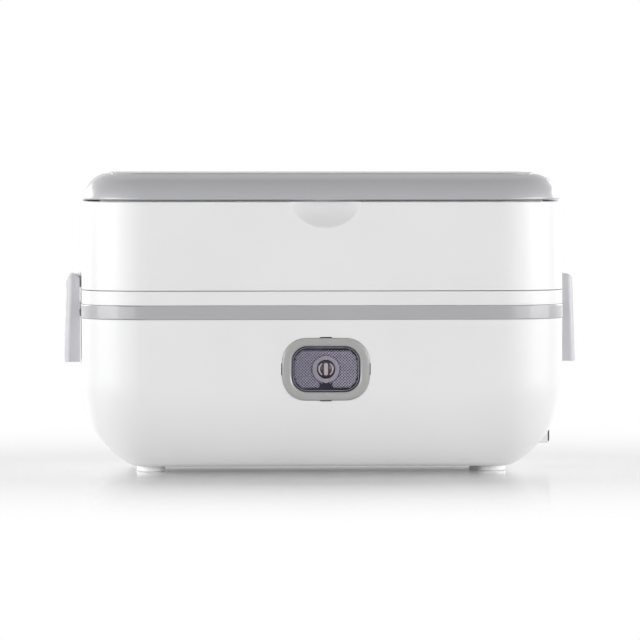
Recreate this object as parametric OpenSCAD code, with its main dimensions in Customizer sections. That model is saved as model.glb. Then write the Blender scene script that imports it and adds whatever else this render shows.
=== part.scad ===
// Two-tier electric lunch box: heated base, lift-off upper tier, hinged lid, two side latches.
// Millimetres, +Z up, +X along the long side, the front faces -Y.
// The origin is on the table, under the middle of the whole outline.

/* [Body] */
// Width of the body across its sides, without the latches
body_w = 208; // [200:1:230]
// Depth of the body from front to back, without the hinge
body_d = 115; // [108:1:130]
// Corner radius of the body seen from above
corner_r = 28; // [27:0.5:32]
// Height of the white base shell
base_h = 64.2; // [63:0.2:75]
// Height of the grey rim band
band_h = 6.2; // [5.8:0.1:8]
// Height of the collar under the upper tier
collar_h = 6; // [5.4:0.1:8]
// Height of the upper tier above its collar
tier_h = 38.3; // [37:0.1:48]
// How much the upper tier narrows on each side towards its top
tier_draft = 0.6; // [0:0.1:1]
// Wall thickness of the outer mouldings
wall = 2.4; // [2:0.1:2.6]

/* [Lower side curve] */
// How far the lower curve runs in under the body
curve_in = 26; // [24:0.5:26.5]
// Height at which the lower curve begins
curve_up = 36; // [30:0.5:40]
// Radius of the tight arc next to the underside
curve_foot_r = 12; // [10:0.5:14]

/* [Band and deck] */
// How far the band stands proud of the shell
band_proud = 0.3; // [0.1:0.1:0.6]
// Width of the band's raised outer lip
band_lip = 3; // [2.6:0.1:3.4]
// Thickness of the deck inside the band
deck_t = 2; // [1.6:0.1:2.4]
// Depth of the skirt that locates the band in the shell
skirt_h = 5; // [3:0.5:7]

/* [Dishes and basin] */
// Distance from the outside of the body to the outside of a dish
dish_inset = 14; // [13.6:0.1:14.6]
// Gap between the lower dish and the heating plate
water_gap = 5.6; // [4.5:0.1:8]
// Gap between the upper dish and the rim of the lower one
dish_gap = 7.4; // [6:0.1:10]
// Width of the dish rim
dish_rim = 3.5; // [3:0.1:4]
// Sheet thickness of the dishes
dish_t = 0.8; // [0.6:0.1:1]
// Thickness of a rolled rim
rim_t = 1.2; // [1:0.1:1.4]
// Radius round the bottom of the dishes and basin
bowl_r = 10; // [8:0.5:11]
// Sheet thickness of the basin
basin_t = 1.2; // [1:0.1:1.5]
// Gap beside a dish in the basin
basin_gap = 1.3; // [1.1:0.1:1.4]
// Width of the basin rim
basin_rim = 4; // [3.6:0.1:4.2]
// Height of the basin's underside above the underside of the shell
basin_up = 28.4; // [27:0.2:29]

/* [Lid] */
// Height of the lid from its lower edge to its top
lid_h = 11.6; // [11:0.1:14]
// How far the lid's edge is set in from the body
lid_inset = 1.4; // [1:0.1:2]
// Gap between the lid and the upper tier
lid_gap = 0.7; // [0.5:0.1:1]
// Height of the upright edge of the lid
lid_edge = 1; // [0.9:0.1:1.5]
// How much larger the radius of the lid's shoulder is than its height
lid_spread = 1.9; // [1.3:0.1:2.3]
// Rounding of the lid's lower edge
lid_lip_r = 0.5; // [0.3:0.1:0.8]
// Wall thickness of the lid
lid_t = 2.2; // [2:0.1:2.5]
// How far the top panel is set in from the lid's edge
panel_inset = 11.4; // [11:0.1:12.5]
// How far the top panel stands proud of the lid
panel_proud = 0.5; // [0.3:0.1:0.6]
// Thickness of the inner lining of the lid
liner_t = 1.6; // [1.4:0.1:2]

/* [Thumb notch] */
// Width of the thumb notch along the top edge of the upper tier
notch_w = 31.7; // [28:0.1:36]
// Depth of the notch down from that edge
notch_h = 11.3; // [10:0.1:12.5]
// How deep the notch is pressed into the wall
notch_in = 6.6; // [5:0.1:6.8]
// Wall thickness behind the notch
notch_wall = 1.6; // [1.4:0.1:1.7]
// Rounding of the notch's edge
notch_round = 1.1; // [0.6:0.1:1.3]

/* [Lid hinge] */
// Distance from the rear wall to the hinge axis
hinge_out = 3.6; // [3.4:0.1:4]
// Radius of the hinge knuckles
knuckle_r = 3; // [2.8:0.1:3.1]
// Distance of each hinge from the middle
hinge_x = 52; // [45:1:58]
// Width of the lid's knuckle
lid_knuckle_w = 18; // [14:1:22]
// Width of each knuckle on the tier
tier_knuckle_w = 8; // [6:1:10]
// Radius of the hinge pins
hinge_pin_r = 1.25; // [1:0.05:1.5]

/* [Side latches] */
// Width of a latch along the side of the body
latch_w = 30; // [26:1:36]
// Height of a latch
latch_h = 38; // [37:0.5:41]
// Thickness of a latch at its upper end
latch_top_t = 5.5; // [5:0.1:6]
// Thickness of a latch at its lower end
latch_low_t = 6.7; // [6:0.1:7.5]
// Wall thickness inside a latch
latch_wall = 2.2; // [1.8:0.1:2.4]
// Gap between a latch and the band
latch_gap = 0.4; // [0.3:0.05:0.5]
// How far the catch stands out of the band
catch_out = 1.4; // [1:0.1:1.6]
// Height of the catch
catch_h = 2.8; // [2:0.1:3]
// How far a latch reaches up above the seam of the upper tier
latch_up = 6.3; // [6.1:0.1:7.5]
// Rounding of a latch's upright outer edges
latch_round = 2.4; // [1.6:0.1:2.6]
// Rounding of a latch's lower edge
latch_foot_r = 1.1; // [0.8:0.1:1.4]
// Radius of the latch pins
latch_pin_r = 0.9; // [0.7:0.05:1]

/* [Power button] */
// Width of the button bezel
bezel_w = 37.1; // [35:0.1:40]
// Height of the button bezel
bezel_h = 26.3; // [25:0.1:27.5]
// Corner radius of the bezel
bezel_r = 10; // [8:0.5:11]
// Width of the button lens window
window_w = 29.4; // [28:0.1:30]
// Height of the window
window_h = 19.6; // [18:0.1:20]
// Corner radius of the window
window_r = 6.8; // [6:0.1:7.5]
// Distance from the band down to the button's middle
button_drop = 21.1; // [20:0.1:22]
// How far the bezel stands proud of the front wall
bezel_proud = 0.5; // [0.3:0.1:0.8]
// Rounding of the bezel's outer edge
bezel_round = 1.3; // [0.8:0.1:1.6]
// Chamfer round the window
window_edge = 0.4; // [0.2:0.1:0.6]
// How far the lens is set back in the bezel
lens_back = 0.4; // [0.2:0.1:0.6]
// Travel of the button
button_travel = 1.2; // [0.8:0.1:1.3]
// Outer radius of the ring on the lens
mark_r = 5.8; // [5:0.1:6.5]
// Width of the ring on the lens
mark_ring = 1.8; // [1.2:0.1:2.2]

/* [Power inlet] */
// How far the inlet's flat face is set in from the side of the body
inlet_in = 4.6; // [4:0.1:5.4]
// Width of the inlet's flat face
inlet_w = 28; // [26:1:32]
// Height of the underside of the inlet's boss above the underside of the shell
inlet_up = 8.9; // [8.6:0.1:9.4]
// Height of the inlet's flat face
inlet_h = 15.6; // [15:0.1:15.8]
// Width of the socket mouth
socket_w = 16.4; // [15:0.1:18]
// Height of the socket mouth
socket_h = 9; // [8:0.1:10]
// Depth of the socket
socket_depth = 10; // [9:0.5:11]
// Radius of the two contact pins
contact_r = 1.18; // [1:0.02:1.3]
// Spacing of the contact pins
contact_pitch = 8.6; // [8:0.1:9]

/* [Feet and underside] */
// Height of the feet
foot_h = 2.5; // [2:0.1:3]
// Radius of the feet
foot_r = 6.1; // [5:0.1:6.5]
// Distance of the feet from the sides of the body
foot_side = 30; // [28:0.5:32]
// Distance of the feet from the front and back of the body
foot_front = 35.1; // [34:0.1:37]
// Distance of the bottom cover from the sides of the body
cover_side = 39; // [38:0.5:41]
// Distance of the bottom cover from the front and back of the body
cover_front = 31.5; // [30.5:0.5:34]

/* [Heater and electronics] */
// Radius of the heating plate
plate_r = 30; // [28:0.5:32]
// Thickness of the heating plate's rim
plate_t = 1.6; // [1.2:0.1:2]
// Width of the heater block
heater_w = 44; // [40:1:44]
// Depth of the heater block
heater_d = 22; // [18:1:22]
// Height of the heater block
heater_h = 6; // [5:0.5:6.5]
// Width of the control board
board_w = 46; // [44:1:50]
// Depth of the control board
board_d = 34; // [30:1:38]
// Radius of the insulated wires
wire_r = 0.9; // [0.7:0.1:1]
// Distance from the end of the bottom cover to the control board
board_side = 4; // [3:0.5:6]
// Radius of the fixing screws
screw_r = 1.4; // [1.2:0.1:1.5]

/* [Fits] */
// Running clearance of pins in their bores
pin_fit = 0.05; // [0.03:0.01:0.08]
// Clearance between pieces that are put together
slip = 0.2; // [0.15:0.01:0.25]
// Clearance beside pieces that move
free = 0.4; // [0.3:0.05:0.5]

/* [Hidden] */
$fn = 64;

// Colours as the photograph shows them
white = [0.93, 0.93, 0.94];
grey = [0.68, 0.68, 0.71];
pale_grey = [0.78, 0.78, 0.80];
smoke = [0.27, 0.25, 0.30];
steel = [0.75, 0.76, 0.78];
board_green = [0.10, 0.35, 0.22];
silicone = [0.86, 0.87, 0.88];

// Overlap that makes neighbouring solids of one piece fuse
fuse = 0.01;

// Steps between a rim and the edge above it, and the thicknesses of the seals
deck_down = 1.4;
upper_deck_down = 3.1;
seal_t = 0.6;
tier_seal_t = 1.6;

// Heights, from the table up
shell_z = foot_h;
band_z = shell_z + base_h;
button_z = band_z - button_drop;
tier_z = band_z + band_h;
seam_z = tier_z + collar_h;
tier_top = seam_z + tier_h;
lid_z = tier_top + lid_gap;
lid_top = lid_z + lid_h;
deck_z = tier_z - deck_down;
basin_top = deck_z + rim_t;
basin_z = shell_z + basin_up;
plate_z = basin_z + basin_t + seal_t;
lower_dish_top = basin_top + rim_t;
lower_dish_z = plate_z + plate_t + water_gap;
collar_web_z = lower_dish_top + tier_seal_t;
upper_deck_z = tier_top - upper_deck_down;
upper_dish_top = upper_deck_z + rim_t;
upper_dish_z = lower_dish_top + dish_gap;
latch_top_z = seam_z + latch_up;

// The whole outline stands centred over the origin
rear_reach = hinge_out + knuckle_r;
body_y = (bezel_proud - rear_reach) / 2;

// The straight core between the four corners
core_w = body_w - 2 * corner_r;
core_d = body_d - 2 * corner_r;

// ---------- shared shapes ----------

// Moves the model so that its outline is centred over the origin
module placed() {
    translate([0, body_y, 0]) children();
}

// Sweeps a profile round a rectangle. The profile starts at x = 0, on the rectangle's edge.
module round_core(w, d) {
    for (k = [0:3]) {
        run = k % 2 == 0 ? d : w;
        out = k % 2 == 0 ? w / 2 : d / 2;
        rotate([0, 0, 90 * k]) {
            translate([out, run / 2, 0]) {
                rotate_extrude(angle = 90) children();
                rotate([90, 0, 0]) linear_extrude(run) children();
            }
        }
    }
}

// Sweeps a profile round the body. The profile is drawn at x = corner_r - (inset from the body).
module round_body() {
    round_core(core_w, core_d) children();
}

// A rectangle in a profile, from one inset to a deeper one and from one height to another
module strip(inset_a, inset_b, z_a, z_b) {
    translate([corner_r - inset_b, z_a]) square([inset_b - inset_a, z_b - z_a]);
}

// A flat ring that follows the body
module ring(inset_a, inset_b, z_a, z_b) {
    round_body() strip(inset_a, inset_b, z_a, z_b);
}

// A flat plate that follows the body, up to the given inset
module plate(inset, z_a, z_b) {
    ring(inset, corner_r, z_a, z_b);
    translate([-core_w / 2, -core_d / 2, z_a]) cube([core_w, core_d, z_b - z_a]);
}

// A rectangle with round corners
module rounded(w, d, r) {
    square([w - 2 * r, d], center = true);
    square([w, d - 2 * r], center = true);
    for (x = [-1, 1]) {
        for (y = [-1, 1]) {
            translate([x * (w / 2 - r), y * (d / 2 - r)]) circle(r);
        }
    }
}

// A block with round corners, lying flat
module slab(w, d, r, z_a, z_b) {
    translate([0, 0, z_a]) linear_extrude(z_b - z_a) rounded(w, d, r);
}

// A block with round corners that faces the front, from y_a back to y_b
module front_slab(w, h, r, y_a, y_b) {
    translate([0, y_b, button_z]) rotate([90, 0, 0]) linear_extrude(y_b - y_a) rounded(w, h, r);
}

// A bar along X with the given profile in Y and Z
module along_x(length) {
    rotate([90, 0, 90]) translate([0, 0, -length / 2]) linear_extrude(length) children();
}

// A bar along Y with the given profile in X and Z
module along_y(length) {
    rotate([90, 0, 0]) translate([0, 0, -length / 2]) linear_extrude(length) children();
}

// The filled side profile of the base, thinner all round by t, up to the given height.
// Two arcs that meet tangentially run from the side to the underside.
module base_profile(t, top) {
    side_r = (pow(curve_in, 2) + pow(curve_up - curve_foot_r, 2) - pow(curve_foot_r, 2))
        / (2 * (curve_in - curve_foot_r));
    turn = atan2(curve_up - curve_foot_r, side_r - curve_in);
    foot_x0 = corner_r - curve_in;
    intersection() {
        translate([0, t]) square([corner_r - t, top - t]);
        union() {
            translate([0, curve_up]) square([corner_r - t, top - curve_up]);
            square([foot_x0, top]);
            translate([foot_x0, curve_foot_r]) sector(curve_foot_r - t, turn, 90);
            translate([corner_r - side_r, curve_up]) sector(side_r - t, 0, turn);
        }
    }
}

// A slice of a disc below its middle, between two angles under +X
module sector(r, from, to) {
    far = 3 * r;
    intersection() {
        circle(r);
        polygon([[0, 0], [far * cos(from), -far * sin(from)], [far * cos(to), -far * sin(to)]]);
    }
}

// The profile of a sheet tub with a rim: inset of its outside, top, underside, sheet, rim width
module tub_profile(inset, top, low, t, rim) {
    difference() {
        tub_fill(inset, top, low, bowl_r);
        tub_fill(inset + t, top + t, low + t, bowl_r - t);
    }
    strip(inset - rim, inset + t, top - rim_t, top);
}

// The filled profile of a tub with a round lower edge
module tub_fill(inset, top, low, r) {
    x_out = corner_r - inset;
    translate([0, low + r]) square([x_out, top - low - r]);
    translate([0, low]) square([x_out - r, top - low]);
    translate([x_out - r, low + r]) circle(r);
}

// A sheet tub
module tub(inset, top, low, t, rim) {
    round_body() intersection() {
        tub_profile(inset, top, low, t, rim);
        translate([0, low]) square([corner_r, top - low]);
    }
    translate([-core_w / 2, -core_d / 2, low]) cube([core_w, core_d, t]);
}

// A pan-head screw that points up, with the underside of its head at z = 0
module screw(length) {
    cylinder(r = screw_r, h = length);
    translate([0, 0, -screw_head_h]) difference() {
        cylinder(r = screw_head_r, h = screw_head_h);
        for (a = [0, 90]) {
            rotate([0, 0, a]) translate([-screw_slot_w / 2, -screw_r, -fuse])
                cube([screw_slot_w, 2 * screw_r, screw_slot_h]);
        }
    }
}
screw_head_r = 2 * screw_r;
screw_head_h = screw_r;
screw_slot_w = 0.6;
screw_slot_h = 0.8;

// Copies its children at the four corners of a rectangle
module at_corners(x, y) {
    for (sx = [-1, 1]) {
        for (sy = [-1, 1]) {
            translate([sx * x, sy * y, 0]) children();
        }
    }
}

// ---------- base ----------

// The bottom cover lies flush in the floor of the shell, against a lip
cover_w = body_w - 2 * cover_side;
cover_d = body_d - 2 * cover_front;
cover_r = 6;
lip_in = 3;
lip_h = 2;
cover_top = shell_z + wall;
lip_top = cover_top + lip_h;
boss_inset = 4.5;
boss_wall = 1.8;
boss_r = screw_r + boss_wall;
boss_h = 8;
boss_top = cover_top + boss_h;
cover_screw_x = cover_w / 2 - boss_inset;
cover_screw_y = cover_d / 2 - boss_inset;
foot_x = body_w / 2 - foot_side;
foot_y = body_d / 2 - foot_front;
foot_stem_r = 2.5;

// The inlet's flat face is cut into the curved side, and its lower end stands out as a boss
inlet_x = body_w / 2 - inlet_in;
inlet_low = shell_z + inlet_up;
inlet_mid_z = inlet_low + inlet_h / 2;
inlet_block_t = 6;
inlet_corner = 2;
housing_side = 1.8;
housing_edge = 1.5;
housing_floor = 3;
housing_lip_t = 0.8;
housing_lip_w = 2.5;
housing_lip_h = 1.3;
housing_w = socket_w + 2 * housing_side;
housing_h = socket_h + 2 * housing_edge;
housing_back = inlet_x - socket_depth - housing_floor;

module base_shell() {
    color(white) placed() difference() {
        union() {
            translate([0, 0, shell_z]) {
                round_body() difference() {
                    base_profile(0, base_h);
                    base_profile(wall, base_h + wall);
                }
                translate([-core_w / 2, -core_d / 2, 0]) cube([core_w, core_d, wall]);
            }
            slab(cover_w + 2 * wall, cover_d + 2 * wall, cover_r + wall, cover_top - fuse, lip_top);
            at_corners(cover_screw_x, cover_screw_y) {
                translate([0, 0, cover_top]) cylinder(r = boss_r, h = boss_top - cover_top);
            }
            inlet_block();
        }
        slab(cover_w + 2 * slip, cover_d + 2 * slip, cover_r, shell_z - 1, cover_top);
        difference() {
            slab(cover_w - 2 * lip_in, cover_d - 2 * lip_in, cover_r, shell_z, lip_top + 1);
            at_corners(cover_screw_x, cover_screw_y) cylinder(r = boss_r, h = boss_top);
        }
        at_corners(cover_screw_x, cover_screw_y) cylinder(r = screw_r + pin_fit, h = boss_top - 1);
        at_corners(foot_x, foot_y) cylinder(r = foot_stem_r + slip / 2, h = cover_top + wall);
        inlet_recess();
        button_opening();
    }
}

// The thick pad behind the inlet's flat face, and the walls round its recess
module inlet_block() {
    top = inlet_low + inlet_h;
    translate([inlet_x - inlet_block_t, -inlet_w / 2, inlet_low])
        cube([inlet_block_t, inlet_w, inlet_h]);
    intersection() {
        translate([inlet_x - inlet_block_t, -inlet_w / 2 - wall, inlet_low])
            cube([body_w / 2 - inlet_x + inlet_block_t, inlet_w + 2 * wall, inlet_h + wall]);
        translate([0, 0, shell_z]) round_body() base_profile(0, base_h);
    }
}

// The room in front of the flat face, and the hole for the inlet housing
module inlet_recess() {
    translate([inlet_x, -inlet_w / 2, inlet_low - wall])
        cube([body_w, inlet_w, inlet_h + wall]);
    translate([inlet_x, 0, inlet_mid_z]) rotate([0, 0, 90]) rotate([90, 0, 0])
        translate([0, 0, -inlet_block_t - wall])
        linear_extrude(inlet_block_t + 2 * wall)
        rounded(housing_w + 2 * slip, housing_h + 2 * slip, inlet_corner);
}

// The hole for the bezel, with room for its flange and with its four clip slots
slot_long = 5.2;
slot_high = 0.65;
slot_side = 0.6;
slot_depth = 1.2;
front_y = -body_d / 2;

module button_opening() {
    edge = flange_out + slip;
    front_slab(bezel_w + 2 * slip, bezel_h + 2 * slip, bezel_r + slip, front_y - 1, front_y + 2 * wall);
    front_slab(bezel_w + 2 * edge, bezel_h + 2 * edge, bezel_r + edge,
        bezel_back - flange_t - slip, bezel_back + wall);
    translate([0, front_y - 1, button_z]) for (s = [0, 1]) {
        mirror([0, 0, s]) translate([-slot_long / 2, 0, bezel_h / 2])
            cube([slot_long, slot_depth + 1, slot_high]);
        mirror([s, 0, 0]) translate([bezel_w / 2, 0, -slot_long / 2])
            cube([slot_side, slot_depth + 1, slot_long]);
    }
}

// The grey band: a proud outer lip, a deck that carries the basin, and a locating skirt
basin_inset = dish_inset - basin_gap - basin_t;
deck_edge = basin_inset - slip;
band_round = 0.5;
skirt_t = 1.6;

module rim_band() {
    color(grey) placed() {
        round_body() {
            translate([corner_r - band_lip, band_z + band_round])
                square([band_lip + band_proud, band_h - 2 * band_round]);
            translate([corner_r - band_lip, band_z])
                square([band_lip + band_proud - band_round, band_h]);
            for (z = [band_z + band_round, tier_z - band_round]) {
                translate([corner_r + band_proud - band_round, z]) circle(band_round);
            }
            strip(band_lip - fuse, deck_edge, deck_z - deck_t, deck_z);
            strip(wall + slip, wall + slip + skirt_t, band_z - skirt_h, deck_z);
        }
        for (s = [0, 1]) {
            mirror([s, 0, 0]) latch_catch();
        }
    }
}

// The lip on each side of the band that a latch hooks under
module latch_catch() {
    root = body_w / 2 - band_lip / 2;
    tip = band_face + catch_out;
    along_y(catch_w) polygon([
        [root, band_z + slip],
        [tip, band_z + slip],
        [tip, band_z + catch_h / 2],
        [band_face, band_z + catch_h],
        [root, band_z + catch_h]]);
}

board_x = board_side + board_w / 2 - cover_w / 2;
post_h = 4.2;
post_wall = 1.2;
post_r = screw_r + post_wall;
post_in = 4;
board_z = cover_top + post_h;
board_t = 1.6;
post_x = board_w / 2 - post_in;
post_y = board_d / 2 - post_in;

module bottom_cover() {
    color(white) placed() difference() {
        union() {
            slab(cover_w, cover_d, cover_r - slip, shell_z, cover_top);
            translate([board_x, 0, cover_top - fuse]) at_corners(post_x, post_y)
                cylinder(r = post_r, h = post_h + fuse);
        }
        at_corners(cover_screw_x, cover_screw_y) {
            cylinder(r = screw_r + slip, h = cover_top + 1);
            cylinder(r = screw_head_r + slip, h = shell_z + screw_head_h);
        }
        translate([board_x, 0, cover_top - 1]) at_corners(post_x, post_y)
            cylinder(r = screw_r + pin_fit, h = board_z);
    }
}

module feet() {
    color(white) placed() at_corners(foot_x, foot_y) {
        cylinder(r = foot_r - foot_edge, h = foot_h);
        translate([0, 0, foot_edge]) cylinder(r = foot_r, h = foot_h - foot_edge);
        translate([0, 0, foot_edge]) rotate_extrude()
            translate([foot_r - foot_edge, 0]) circle(foot_edge);
        cylinder(r = foot_stem_r, h = cover_top + 1);
    }
}
foot_edge = 0.8;

module bottom_screws() {
    color(steel) placed() at_corners(cover_screw_x, cover_screw_y)
        translate([0, 0, shell_z + screw_head_h]) screw(bottom_screw_h);
}
bottom_screw_h = 6;

module basin() {
    color(steel) placed() difference() {
        tub(basin_inset, basin_top, basin_z, basin_t, basin_rim);
        translate([0, 0, basin_z - 1]) cylinder(r = plate_boss_r + plate_gap, h = basin_t + 2);
    }
}

// The heating plate hangs in the floor of the basin on its seal
plate_lip = 5;
plate_gap = 1;
plate_boss_r = plate_r - plate_lip;
plate_boss_down = 1.4;
heater_top = basin_z - plate_boss_down;
clamp_screw_gap = 8;
clamp_y = heater_d / 2 + clamp_screw_gap;
clamp_z = heater_top - heater_h;
clamp_t = 1.2;
clamp_w = 14;
clamp_end = 4;

module heating_plate() {
    color(steel) placed() difference() {
        union() {
            translate([0, 0, plate_z]) cylinder(r = plate_r, h = plate_t);
            translate([0, 0, heater_top]) cylinder(r = plate_boss_r, h = plate_z - heater_top + fuse);
            for (s = [-1, 1]) {
                translate([0, s * clamp_y, clamp_z]) cylinder(r = post_r, h = heater_h + fuse);
            }
        }
        for (s = [-1, 1]) {
            translate([0, s * clamp_y, clamp_z - 1]) cylinder(r = screw_r + pin_fit, h = heater_h);
        }
    }
}

module plate_seal() {
    color(silicone) placed() translate([0, 0, basin_z + basin_t]) difference() {
        cylinder(r = plate_r - plate_gap / 2, h = seal_t);
        translate([0, 0, -1]) cylinder(r = plate_boss_r + plate_gap, h = seal_t + 2);
    }
}

module ptc_heater() {
    color(steel) placed() slab(heater_w, heater_d, 1, clamp_z, heater_top);
}

module heater_clamp() {
    color(steel) placed() difference() {
        slab(clamp_w, 2 * (clamp_y + clamp_end), clamp_end - 1, clamp_z - clamp_t, clamp_z);
        for (s = [-1, 1]) {
            translate([0, s * clamp_y, clamp_z - clamp_t - 1])
                cylinder(r = screw_r + slip, h = clamp_t + 2);
        }
    }
}

module clamp_screws() {
    color(steel) placed() for (s = [-1, 1]) {
        translate([0, s * clamp_y, clamp_z - clamp_t]) screw(clamp_screw_h);
    }
}
clamp_screw_h = 5;

module thermostat() {
    color(smoke) placed() translate([0, 0, clamp_z - clamp_t]) mirror([0, 0, 1]) {
        cylinder(r = thermostat_r, h = thermostat_h - thermostat_step);
        cylinder(r = thermostat_r - 2 * thermostat_step, h = thermostat_h);
    }
}
thermostat_r = 7;
thermostat_h = 5;
thermostat_step = 0.8;

// The thermal fuse lies along the heater, with a lead at each end
fuse_r = 2;
fuse_l = 16;
fuse_lead = 4;
fuse_lead_r = 0.5;

module thermal_fuse() {
    color(white) placed() translate([0, heater_d / 2 + fuse_r + slip, heater_top - fuse_r - slip])
        rotate([0, 90, 0]) {
            cylinder(r = fuse_r, h = fuse_l, center = true);
            cylinder(r = fuse_lead_r, h = fuse_l + 2 * fuse_lead, center = true);
        }
}

module control_board() {
    color(board_green) placed() translate([board_x, 0, 0]) difference() {
        slab(board_w, board_d, 1, board_z, board_top);
        at_corners(post_x, post_y)
            translate([0, 0, board_z - 1]) cylinder(r = screw_r + slip, h = board_t + 2);
    }
}

board_top = board_z + board_t;
terminal_w = 6;
terminal_h = 5;
terminal_d = 13;
terminal_in = 5.5;
mains_terminal_x = board_x + board_w / 2 - terminal_in;
heater_terminal_x = board_x - board_w / 2 + terminal_in;
relay = [15, 10, 12];
relay_at = [0, -5];
can_r = 4;
can_h = 9;
can_at = [0, 7];
chip = [3.2, 1.6, 1.2];
chip_y = [-14, -11.5];

module board_parts() {
    placed() {
        color(smoke) translate([board_x + relay_at[0], relay_at[1], board_top])
            linear_extrude(relay[2]) rounded(relay[0], relay[1], small_r);
        color(smoke) translate([board_x + can_at[0], can_at[1], board_top])
            cylinder(r = can_r, h = can_h);
        color(white) for (x = [mains_terminal_x, heater_terminal_x]) {
            translate([x, 0, board_top]) linear_extrude(terminal_h)
                rounded(terminal_w, terminal_d, small_r);
        }
        color(steel) for (y = chip_y) {
            translate([board_x, y, board_top]) linear_extrude(chip[2])
                square([chip[0], chip[1]], center = true);
        }
    }
}

module board_screws() {
    color(steel) placed() translate([board_x, 0, board_top]) mirror([0, 0, 1])
        at_corners(post_x, post_y) screw(board_screw_h);
}
board_screw_h = 5;
small_r = 0.5;

// ---------- power inlet ----------

module inlet_housing() {
    color(smoke) placed() difference() {
        union() {
            inlet_slab(housing_w, housing_h, housing_back, socket_face);
            inlet_slab(housing_w + 2 * housing_lip_w, housing_h + 2 * housing_lip_h,
                inlet_x, socket_face);
        }
        inlet_slab(socket_w, socket_h, socket_face - socket_depth, socket_face + 1);
        for (s = [-1, 1]) {
            translate([housing_back - 1, s * contact_pitch / 2, inlet_mid_z]) rotate([0, 90, 0])
                cylinder(r = contact_r + pin_fit, h = socket_depth);
        }
    }
}

// A block with round corners that faces +X, from x_a to x_b, in line with the inlet
module inlet_slab(w, h, x_a, x_b) {
    translate([x_a, 0, inlet_mid_z]) rotate([90, 0, 90]) linear_extrude(x_b - x_a)
        rounded(w, h, inlet_corner);
}

socket_face = inlet_x + housing_lip_t;
pin_tail = 4;
pin_set_back = 2.3;

module inlet_pins() {
    color(steel) placed() for (s = [-1, 1]) {
        translate([wire_start, s * contact_pitch / 2, inlet_mid_z]) rotate([0, 90, 0])
            cylinder(r = contact_r, h = socket_face - pin_set_back - wire_start);
    }
}

// Each wire runs in from the inlet, steps down in two quarter bends and meets the board's terminal
bend_r = 2.6;
wire_low_z = board_top + terminal_h / 2;
wire_start = housing_back - pin_tail;
step_down = inlet_mid_z - wire_low_z - 2 * bend_r;
wire_lead = 6;
wire_turn = wire_start - wire_lead;
mains_end = mains_terminal_x + terminal_w / 2;

module inlet_wires() {
    color(smoke) placed() for (s = [-1, 1]) {
        translate([0, s * contact_pitch / 2, 0]) {
            translate([wire_turn, 0, inlet_mid_z]) rotate([0, 90, 0])
                cylinder(r = wire_r, h = wire_start - wire_turn);
            translate([wire_turn, 0, inlet_mid_z - bend_r]) bend(90);
            translate([wire_turn - bend_r, 0, wire_low_z + bend_r])
                cylinder(r = wire_r, h = step_down);
            translate([wire_turn - 2 * bend_r, 0, wire_low_z + bend_r]) bend(-90);
            translate([mains_end, 0, wire_low_z]) rotate([0, 90, 0])
                cylinder(r = wire_r, h = wire_turn - 2 * bend_r - mains_end);
        }
    }
}

// A quarter bend in the XZ plane about the origin, from straight up towards -X or from +X down
module bend(turn) {
    start = turn > 0 ? 90 : 270;
    rotate([90, 0, 0]) rotate([0, 0, start]) rotate_extrude(angle = 90)
        translate([bend_r, 0]) circle(wire_r);
}

heater_wire_z = heater_top - heater_h / 2;
heater_wire_y = 3;

module heater_wires() {
    color(smoke) placed() for (y = [-heater_wire_y, heater_wire_y]) {
        translate([0, y, 0]) {
            translate([heater_terminal_x + bend_r, 0, heater_wire_z]) rotate([0, 90, 0])
                cylinder(r = wire_r, h = -heater_w / 2 - heater_terminal_x - bend_r);
            translate([heater_terminal_x + bend_r, 0, heater_wire_z - bend_r]) bend(90);
            translate([heater_terminal_x, 0, board_top + terminal_h])
                cylinder(r = wire_r, h = heater_wire_z - bend_r - board_top - terminal_h);
        }
    }
}

// ---------- power button ----------

bezel_front = front_y - bezel_proud;
lens_front = bezel_front + lens_back;
lens_t = 2.1;
plunger_front = lens_front + lens_t;
plunger_t = 1.2;
guide = 1.5;
bezel_shoulder = plunger_front - slip;
bezel_back = plunger_front + plunger_t + button_travel + free;
flange_t = 1.2;
flange_out = 2;
switch_h = 2.1;
stem_end = bezel_back + 0.9;
button_gap = 0.1;
board_front = stem_end + switch_h - button_gap;
small_board_t = 1.2;
small_board_h = 18;
peg_r = 1;
peg_wall = 1.2;
peg_x = window_w / 2 + guide + peg_r + peg_wall;
peg_end = 2;

module button_bezel() {
    color(pale_grey) placed() difference() {
        union() {
            bezel_body();
            front_slab(bezel_w + 2 * flange_out, bezel_h + 2 * flange_out, bezel_r + flange_out,
                bezel_back - flange_t, bezel_back);
            for (s = [-1, 1]) {
                translate([s * peg_x, 0, 0]) {
                    peg(peg_r + peg_wall, bezel_back - fuse, board_front);
                    peg(peg_r, bezel_back, board_front + small_board_t + small_r);
                }
            }
        }
        front_slab(window_w, window_h, window_r, bezel_front - 1, bezel_back + 1);
        window_chamfer();
        front_slab(window_w + 2 * guide, window_h + 2 * guide, window_r + guide,
            bezel_shoulder, bezel_back + 1);
    }
}

// The bezel as a block with a rounded front edge
module bezel_body() {
    depth = bezel_back - bezel_front;
    w = bezel_w - 2 * bezel_r;
    h = bezel_h - 2 * bezel_r;
    translate([0, bezel_back, button_z]) rotate([90, 0, 0]) {
        round_core(w, h) {
            square([bezel_r, depth - bezel_round]);
            square([bezel_r - bezel_round, depth]);
            translate([bezel_r - bezel_round, depth - bezel_round]) circle(bezel_round);
        }
        translate([-w / 2, -h / 2, 0]) cube([w, h, depth]);
    }
}

// The cut that bevels the front edge of the window
module window_chamfer() {
    translate([0, bezel_front, button_z]) rotate([90, 0, 0])
        round_core(window_w - 2 * window_r, window_h - 2 * window_r) polygon([
            [window_r - window_edge, -2 * window_edge],
            [window_r + 2 * window_edge, window_edge],
            [window_r - window_edge, window_edge]]);
}

// A round peg towards the back, in line with the button
module peg(r, y_a, y_b) {
    translate([0, y_b, button_z]) rotate([90, 0, 0]) cylinder(r = r, h = y_b - y_a);
}

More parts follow.
